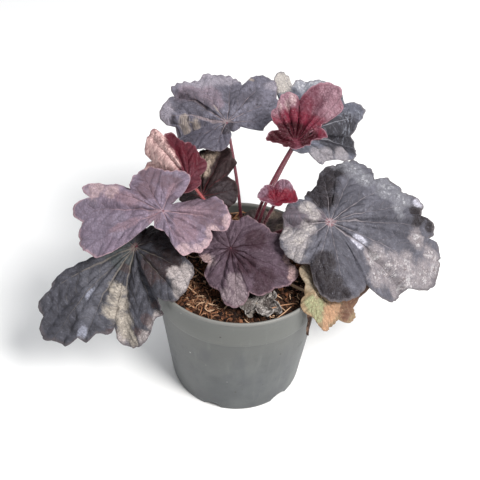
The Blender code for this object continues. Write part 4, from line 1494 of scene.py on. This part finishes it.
# The lowest leaf, hanging outside the pot on the left: slate and dark green
# with a chocolate stain round its heart, a long dead beige streak and a
# bleached lobe on the right.
make_leaf(
    "leaf_low_left",
    {
        "at": (-68, -9, 118), "face": (205, -32, 0), "arch": 30, "foot": (-6.5, 8.5), "rise": 112,
        "bend": (-48, -6, 122), "seed": 10.0,
        "laps": [(30, 14, 66, -1.4, 10), (82, 10, 46, 1.4, 10), (-12, 14, 60, 1.0, 8)],
        "grid": (400, 54), "pitch": 8.0, "stalk_steps": 60, "teeth": 0.5, "ruffle": 0.7,
        "rim": [
            (-141, 13, 16), (-76, 16, 16), (-45, 17, 17), (-22, 26, 14), (-12, 42, 14), (-9, 61, 10),
            (-6, 69, 8), (-3, 78, 2), (0, 78, 0), (3, 88, -6), (8, 85, -6), (13, 81, -10), (18, 71, -10),
            (21, 71, -14), (24, 63, -15), (27, 61, -20), (30, 55, -24), (39, 67, -32), (63, 50, -33),
            (71, 48, -38), (82, 35, -22), (97, 48, -20), (106, 50, -16), (120, 47, -16), (131, 37, -9),
            (156, 25, -6), (208, 18, -6),
        ],
        "veins": [
            (-130, 14), (-74, 16), (-24, 24), (-5, 74), (9, 83), (21, 69), (37, 64), (66, 49), (98, 48),
            (120, 45),
            (158, 24), (-165, 18),
        ],
        "marks": {
            "slate": [(6, 26, 8), (10, 38, 8), (3, 36, 7), (16, 52, 7)],
            "choc": [(-172, 14, 8), (-156, 15, 6), (142, 22, 8), (178, 8, 6), (165, 18, 7)],
            "brown": [(120, 30, 9), (104, 27, 8), (102, 17, 7), (86, 25, 6)],
            "green": [(-60, 12, 9), (-24, 17, 8), (-40, 8, 7), (10, 12, 8)],
            "buff": [(33, 38, 6), (37, 49, 7), (29, 30, 5), (39, 57, 6), (29, 45, 5), (43, 62, 5)],
            "white": [(108, 44, 7), (103, 46, 6), (118, 42, 6), (112, 36, 5)],
            "paleedge": [(53, 60, 6), (42, 66, 5), (62, 52, 5), (33, 62, 5), (69, 47, 4)],
            "spots": [(30, 58, 3), (48, 55, 3.5), (58, 48, 4.5), (29, 15, 3), (70, 40, 3)],
            "lilac": [(19, 66, 2.2, 2.4), (11, 42, 1.6, 3)],
            "heart": [(0, 0, 3)],
        },
    },
    blade_finish(
        "low_left_skin", flesh=(0.074, 0.074, 0.092), shade=(0.044, 0.043, 0.053),
        vein=(0.240, 0.210, 0.185), net=(0.033, 0.031, 0.035), margin=(0.105, 0.090, 0.098), freckle=0.45,
        freckle_colour=(0.027, 0.024, 0.027), pitch=8.0,
        patches=(
            ("green", (0.072, 0.084, 0.083), 0.8, 0.6, 6.0),
            ("slate", (0.130, 0.130, 0.155), 0.8, 0.8, 6.0),
            ("choc", (0.014, 0.006, 0.006), 0.95, 0.4, 5.0),
            ("brown", (0.042, 0.022, 0.021), 0.9, 0.6, 5.0),
            ("paleedge", (0.440, 0.385, 0.375), 0.85, 0.8, 3.5),
            ("buff", (0.395, 0.348, 0.296), 0.95, 0.9, 4.0),
            ("buff", (0.470, 0.415, 0.355), 0.9, 2.2, 3.0, 0.45),
            ("spots", (0.068, 0.040, 0.040), 0.8, 0.9, 2.5),
            ("lilac", (0.323, 0.332, 0.408), 0.85, 0.4, 3.0),
            ("white", (0.500, 0.440, 0.430), 0.95, 0.4, 3.5),
            ("heart", (0.176, 0.080, 0.080), 0.8, 0.3, 2.0),
        ),
    ),
    under_finish("low_left_under", (0.071, 0.045, 0.053), (0.165, 0.098, 0.105)),
    crimson_stalk,
)


# The fading leaf over the rim on the right: part green, part orange, its
# edge already brown and curled, on a thin tan stalk lying on the compost.
tan_stalk = stalk_finish("tan_stalk", (0.340, 0.240, 0.150), (0.50, 0.38, 0.26), (0.20, 0.12, 0.07))
make_leaf(
    "leaf_fading",
    {
        "at": (49, -36, 109), "face": (-20, -20, 0), "arch": 30, "foot": (5.5, 8), "rise": 100,
        "bend": (36, -24, 97), "seed": 11.0, "grid": (280, 36), "pitch": 6.0, "relief": 1.3, "ruffle": 0.5,
        "teeth": 0.12, "fold": 0.7,
        "rim": [
            (-143, 7, -25), (-78, 15, -25), (-52, 19, -30), (-11, 27, -40), (11, 27, -33), (43, 49, -30),
            (46, 47, -19), (51, 56, -12), (61, 48, -7), (77, 37, -6), (104, 21, 3), (139, 21, 8), (168, 9, 8),
        ],
        "veins": [(-76, 14), (-34, 23), (16, 29), (48, 52), (78, 35), (128, 20)],
        "marks": {
            "green": [(-66, 9, 6), (-86, 7, 5), (-50, 14, 5), (-30, 8, 5)],
            "orange": [(-2, 18, 7), (20, 19, 7), (-26, 22, 6)],
            "brown": [(44, 37, 10), (49, 50, 8), (26, 31, 7), (62, 42, 9), (80, 30, 8)],
            "tan": [(144, 9, 7), (139, 17, 7), (110, 15, 7)],
        },
    },
    blade_finish(
        "fading_skin", flesh=(0.311, 0.229, 0.141), shade=(0.180, 0.132, 0.078),
        vein=(0.390, 0.312, 0.226), net=(0.121, 0.072, 0.044), margin=(0.255, 0.150, 0.090), freckle=0.35,
        freckle_colour=(0.096, 0.048, 0.030), pitch=6.0, rough=0.62,
        patches=(
            ("tan", (0.306, 0.261, 0.198), 0.85, 0.6, 4.0),
            ("green", (0.285, 0.314, 0.180), 0.9, 0.6, 4.0),
            ("orange", (0.480, 0.275, 0.170), 0.9, 0.6, 4.0),
            ("brown", (0.145, 0.060, 0.042), 0.97, 0.6, 4.0),
            ("brown", (0.070, 0.026, 0.018), 0.7, 1.6, 3.0, 0.3),
        ),
    ),
    under_finish("fading_under", (0.270, 0.188, 0.128), (0.360, 0.270, 0.188), rough=0.7),
    tan_stalk,
)


# The small dull leaf low at the back: a brown-grey blade, half hidden, that
# lies just over the compost on a short stalk.
make_leaf(
    "leaf_small_back",
    {
        "at": (16, 35, 102), "face": (60, 0, 0), "arch": 15, "foot": (6.5, 33), "rise": 100, "seed": 12.0,
        "grid": (220, 26), "pitch": 5.5, "ruffle": 0.8,
        "rim": [
            (-93, 13, 0), (-54, 18, 0), (-25, 20, 4), (0, 19, 4), (17, 14, 6), (51, 19, 4), (77, 19, 4),
            (98, 17, 0), (146, 9, 0),
        ],
        "veins": [(-70, 15), (-34, 19), (0, 18), (34, 16), (76, 18), (120, 12)],
        "marks": {"tan": [(-70, 13, 6), (0, 15, 6)]},
    },
    blade_finish(
        "small_back_skin", flesh=(0.085, 0.064, 0.064), shade=(0.050, 0.036, 0.034),
        vein=(0.172, 0.133, 0.117), net=(0.039, 0.028, 0.028), margin=(0.120, 0.090, 0.083), pitch=5.5,
        rough=0.6,
        patches=(("tan", (0.252, 0.198, 0.153), 0.8, 0.9, 4.0),),
    ),
    under_finish("small_back_under", (0.075, 0.045, 0.053), (0.150, 0.090, 0.090)),
    crimson_stalk,
)


# The withered leaf: a grey-white crumpled blade curled up on the compost
# under the front leaf, its stalk shrivelled to a stub.
make_leaf(
    "leaf_withered",
    {
        "at": (12, -38, 100.2), "face": (-20, 0, 0), "arch": 10, "foot": (12, -38), "rise": 98.5,
        "seed": 13.0,
        "grid": (260, 34), "pitch": 5.0, "relief": 2.6, "ruffle": 3.2, "fold": 2.6, "curl": 2.5,
        "rim": [
            (-165, 9, 4), (-140, 12, 10), (-118, 9, -4), (-92, 13, -8), (-70, 9, 8), (-45, 16, 12),
            (-22, 10, -2), (0, 17, -8), (24, 10, 6), (48, 14, 14), (72, 9, 0), (98, 12, -6), (120, 8, 6),
            (142, 11, 8), (165, 8, 4),
        ],
        "veins": [(-140, 12), (-92, 13), (-45, 15), (0, 16), (48, 14), (98, 12), (142, 11)],
        "marks": {
            "dark": [(20, 8, 4), (-70, 8, 4), (130, 8, 3.5), (-10, 14, 3)],
            "light": [(0, 6, 6), (48, 13, 4)],
        },
    },
    blade_finish(
        "withered_skin", flesh=(0.380, 0.352, 0.335), shade=(0.090, 0.080, 0.074),
        vein=(0.359, 0.328, 0.304), net=(0.072, 0.055, 0.050), margin=(0.345, 0.315, 0.300), freckle=0.7,
        freckle_colour=(0.036, 0.027, 0.024), pitch=5.0, rough=0.75, net_show=0.8, depth=0.0012,
        patches=(
            ("light", (0.468, 0.425, 0.399), 0.8, 1.0, 3.0),
            ("dark", (0.021, 0.013, 0.011), 0.9, 0.9, 3.0),
        ),
    ),
    under_finish("withered_under", (0.225, 0.195, 0.173), (0.315, 0.285, 0.255), rough=0.8),
    tan_stalk,
)


# The dead strip: a narrow brown scrap of an old leaf, dry and thin. It lies
# loose on the compost by the fading leaf and hangs over the lip of the pot.
def make_strip():
    knots = np.array([
        (41.0, -24.0, 97.0), (43.0, -30.0, 98.6), (43.8, -35.5, 100.5), (44.6, -39.6, 105.0),
        (46.0, -41.6, 101.5), (46.8, -40.6, 94.0), (47.3, -38.8, 85.0), (46.9, -38.2, 77.0),
        (47.6, -37.2, 71.0),
    ])
    # a smooth curve through the knots
    path = []
    for k in range(len(knots) - 1):
        a = knots[k]
        b = knots[k + 1]
        before = knots[max(k - 1, 0)]
        after = knots[min(k + 2, len(knots) - 1)]
        for t in np.linspace(0, 1, 9)[:-1]:
            bow = (2 * before - 5 * a + 4 * b - after) * t * t + (3 * a - before - 3 * b + after) * t ** 3
            path.append(0.5 * (2 * a + (b - before) * t + bow))
    path = np.array(path + [knots[-1]])
    ways = np.gradient(path, axis=0)
    ways /= np.linalg.norm(ways, axis=1, keepdims=True)
    across = np.array([0.75, 0.66, 0.0])
    half_width = 2.1
    half_thick = 0.2
    count = 9
    verts = []
    for layer in (half_thick, -half_thick):
        for k, (spot, way) in enumerate(zip(path, ways)):
            part = k / (len(path) - 1)
            wide = half_width * (0.35 + 0.65 * math.sin(math.pi * min(1.0, part * 0.85 + 0.12)))
            wide *= 1.0 + 0.35 * noise.noise(Vector((part * 9, 1.0, 3.0)))
            level = across - way * across.dot(way)
            level /= np.linalg.norm(level)
            out = np.cross(level, way)
            for j in range(count):
                t = 2 * j / (count - 1) - 1
                lift = 0.5 * t * t + 0.7 * noise.noise(Vector((t * 1.7, part * 14, 8.0)))
                verts.append(spot + level * wide * t + out * (lift + layer))
    faces = []
    rows = len(path)
    half = rows * count
    for i in range(rows - 1):
        for j in range(count - 1):
            a = i * count + j
            faces.append((a, a + 1, a + count + 1, a + count))
            faces.append((half + a, half + a + count, half + a + count + 1, half + a + 1))
        a, b = i * count, i * count + count - 1
        faces.append((a, a + count, half + a + count, half + a))
        faces.append((b, half + b, half + b + count, b + count))
    for j in range(count - 1):
        faces.append((j, half + j, half + j + 1, j + 1))
        a = (rows - 1) * count + j
        faces.append((a, a + 1, half + a + 1, half + a))
    scrap = Finish("dead_scrap", roughness=0.8, specular=0.2)
    spot = scrap.place()
    broad = scrap.noise(spot, 0.004, 4.0, 0.65)
    fine = scrap.noise(spot, 0.0008, 3.0, 0.6, 2.0)
    colour = scrap.blend((0.050, 0.024, 0.016), (0.22, 0.13, 0.09), broad.step(0.42, 0.66))
    colour = scrap.blend(colour, (0.45, 0.33, 0.25), broad.step(0.60, 0.72) * fine.step(0.4, 0.6))
    mesh = bpy.data.meshes.new("dead_strip")
    mesh.from_pydata([tuple(p * MM) for p in verts], [], faces)
    item = put("dead_strip", mesh, scrap.feed(colour, None, broad * 0.7 + fine * 0.3, depth=0.0006))
    mesh.shade_smooth()
    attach(item, "root")


make_strip()


# The hairs: fine pale pink hairs, about 1 mm long, that grow out of the skin
# of every stalk and stand off it on all sides.
HAIR_LENGTH = 1.0 * MM
HAIRS_PER_SQUARE_METRE = 1.1e6


def make_hairs():
    bpy.ops.mesh.primitive_cone_add(vertices=3, radius1=0.05 * MM, radius2=0.012 * MM, depth=HAIR_LENGTH)
    hair = bpy.context.object
    # the root of each hair is a little inside the stalk
    hair.data.transform(Matrix.Translation((0.0, 0.0, 0.42 * HAIR_LENGTH)))
    mesh = bpy.data.meshes.new("hair_roots")
    mesh.from_pydata([tuple(p * MM) for p in hair_roots[0]], [], hair_roots[1])
    roots = put("hair_roots", mesh)
    layer = mesh.attributes.new("litter", "FLOAT", "POINT")
    layer.data.foreach_set("value", [1.0] * len(mesh.vertices))
    down = Finish("stalk_hair", roughness=0.5, specular=0.4)
    broad = down.noise(down.place(), 0.003, 2.0)
    colour = down.blend((0.30, 0.11, 0.12), (0.52, 0.34, 0.33), broad.step(0.4, 0.6))
    hairs = scatter(
        "stalk_hairs", roots, [hair], down.feed(colour), 41, HAIRS_PER_SQUARE_METRE, (0.6, 1.3), 0.0, 0.5,
        stand=True,
    )
    bpy.data.objects.remove(roots, do_unlink=True)
    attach(hairs, "root")


make_hairs()


# The stand-in studio: a plain white floor, a soft key light from the front
# right, a weaker light from above, and the camera where the photograph was
# taken from.
FLOOR_HALF = 6.0
LIGHT_AIM = Vector((0.0, 0.0, 0.10))
PICTURE_PIXELS = 480.0
FOCAL_PIXELS = 791.0
SENSOR_WIDTH = 36.0
CAMERA_DISTANCE = 0.520
CAMERA_AIM = Vector((-0.0001, 0.0, 0.1198))
CAMERA_ELEVATION = math.radians(41.6)
CAMERA_TILT = math.radians(2.2)


def make_stage():
    paint = Finish("floor_white", roughness=0.9, specular=0.1)
    grain = paint.noise(paint.place(), 0.30, 2.0)
    paint.feed(paint.blend((0.88, 0.88, 0.88), (0.90, 0.90, 0.90), grain))
    mesh = bpy.data.meshes.new("floor")
    ends = [(-1, -1), (1, -1), (1, 1), (-1, 1)]
    mesh.from_pydata([(x * FLOOR_HALF, y * FLOOR_HALF, 0.0) for x, y in ends], [], [(0, 1, 2, 3)])
    floor = put("floor", mesh, paint.material)

    world = bpy.data.worlds.new("studio")
    world.use_nodes = True
    sky = world.node_tree.nodes["Background"]
    sky.inputs["Color"].default_value = (0.97, 0.985, 1.0, 1.0)
    sky.inputs["Strength"].default_value = 0.44
    bpy.context.scene.world = world

    def soft_light(name, place, size, power, colour):
        lamp = bpy.data.lights.new(name, "AREA")
        lamp.shape = "DISK"
        lamp.size = size
        lamp.energy = power
        lamp.color = colour
        item = bpy.data.objects.new(name, lamp)
        bpy.context.scene.collection.objects.link(item)
        item.location = place
        item.rotation_euler = (LIGHT_AIM - Vector(place)).to_track_quat("-Z", "Y").to_euler()

    soft_light("key_light", (0.68, -0.62, 1.20), 0.6, 29.0, (1.0, 0.985, 0.96))
    soft_light("top_light", (-0.25, 0.35, 1.35), 1.0, 6.0, (0.95, 0.97, 1.0))

    # the camera looks down on the middle of the plant and is tilted a little
    back = Vector((0.0, -math.cos(CAMERA_ELEVATION), math.sin(CAMERA_ELEVATION)))
    level = Vector((1.0, 0.0, 0.0))
    steep = back.cross(level)
    right = level * math.cos(CAMERA_TILT) + steep * math.sin(CAMERA_TILT)
    up = steep * math.cos(CAMERA_TILT) - level * math.sin(CAMERA_TILT)
    lens = bpy.data.cameras.new("camera")
    lens.sensor_width = SENSOR_WIDTH
    lens.lens = SENSOR_WIDTH * FOCAL_PIXELS / PICTURE_PIXELS
    lens.clip_start = 0.02
    camera = bpy.data.objects.new("camera", lens)
    bpy.context.scene.collection.objects.link(camera)
    turn = Matrix((right, up, back)).transposed().to_4x4()
    camera.matrix_world = Matrix.Translation(CAMERA_AIM + back * CAMERA_DISTANCE) @ turn
    bpy.context.scene.camera = camera
    bpy.context.scene.view_settings.view_transform = "Standard"


make_stage()
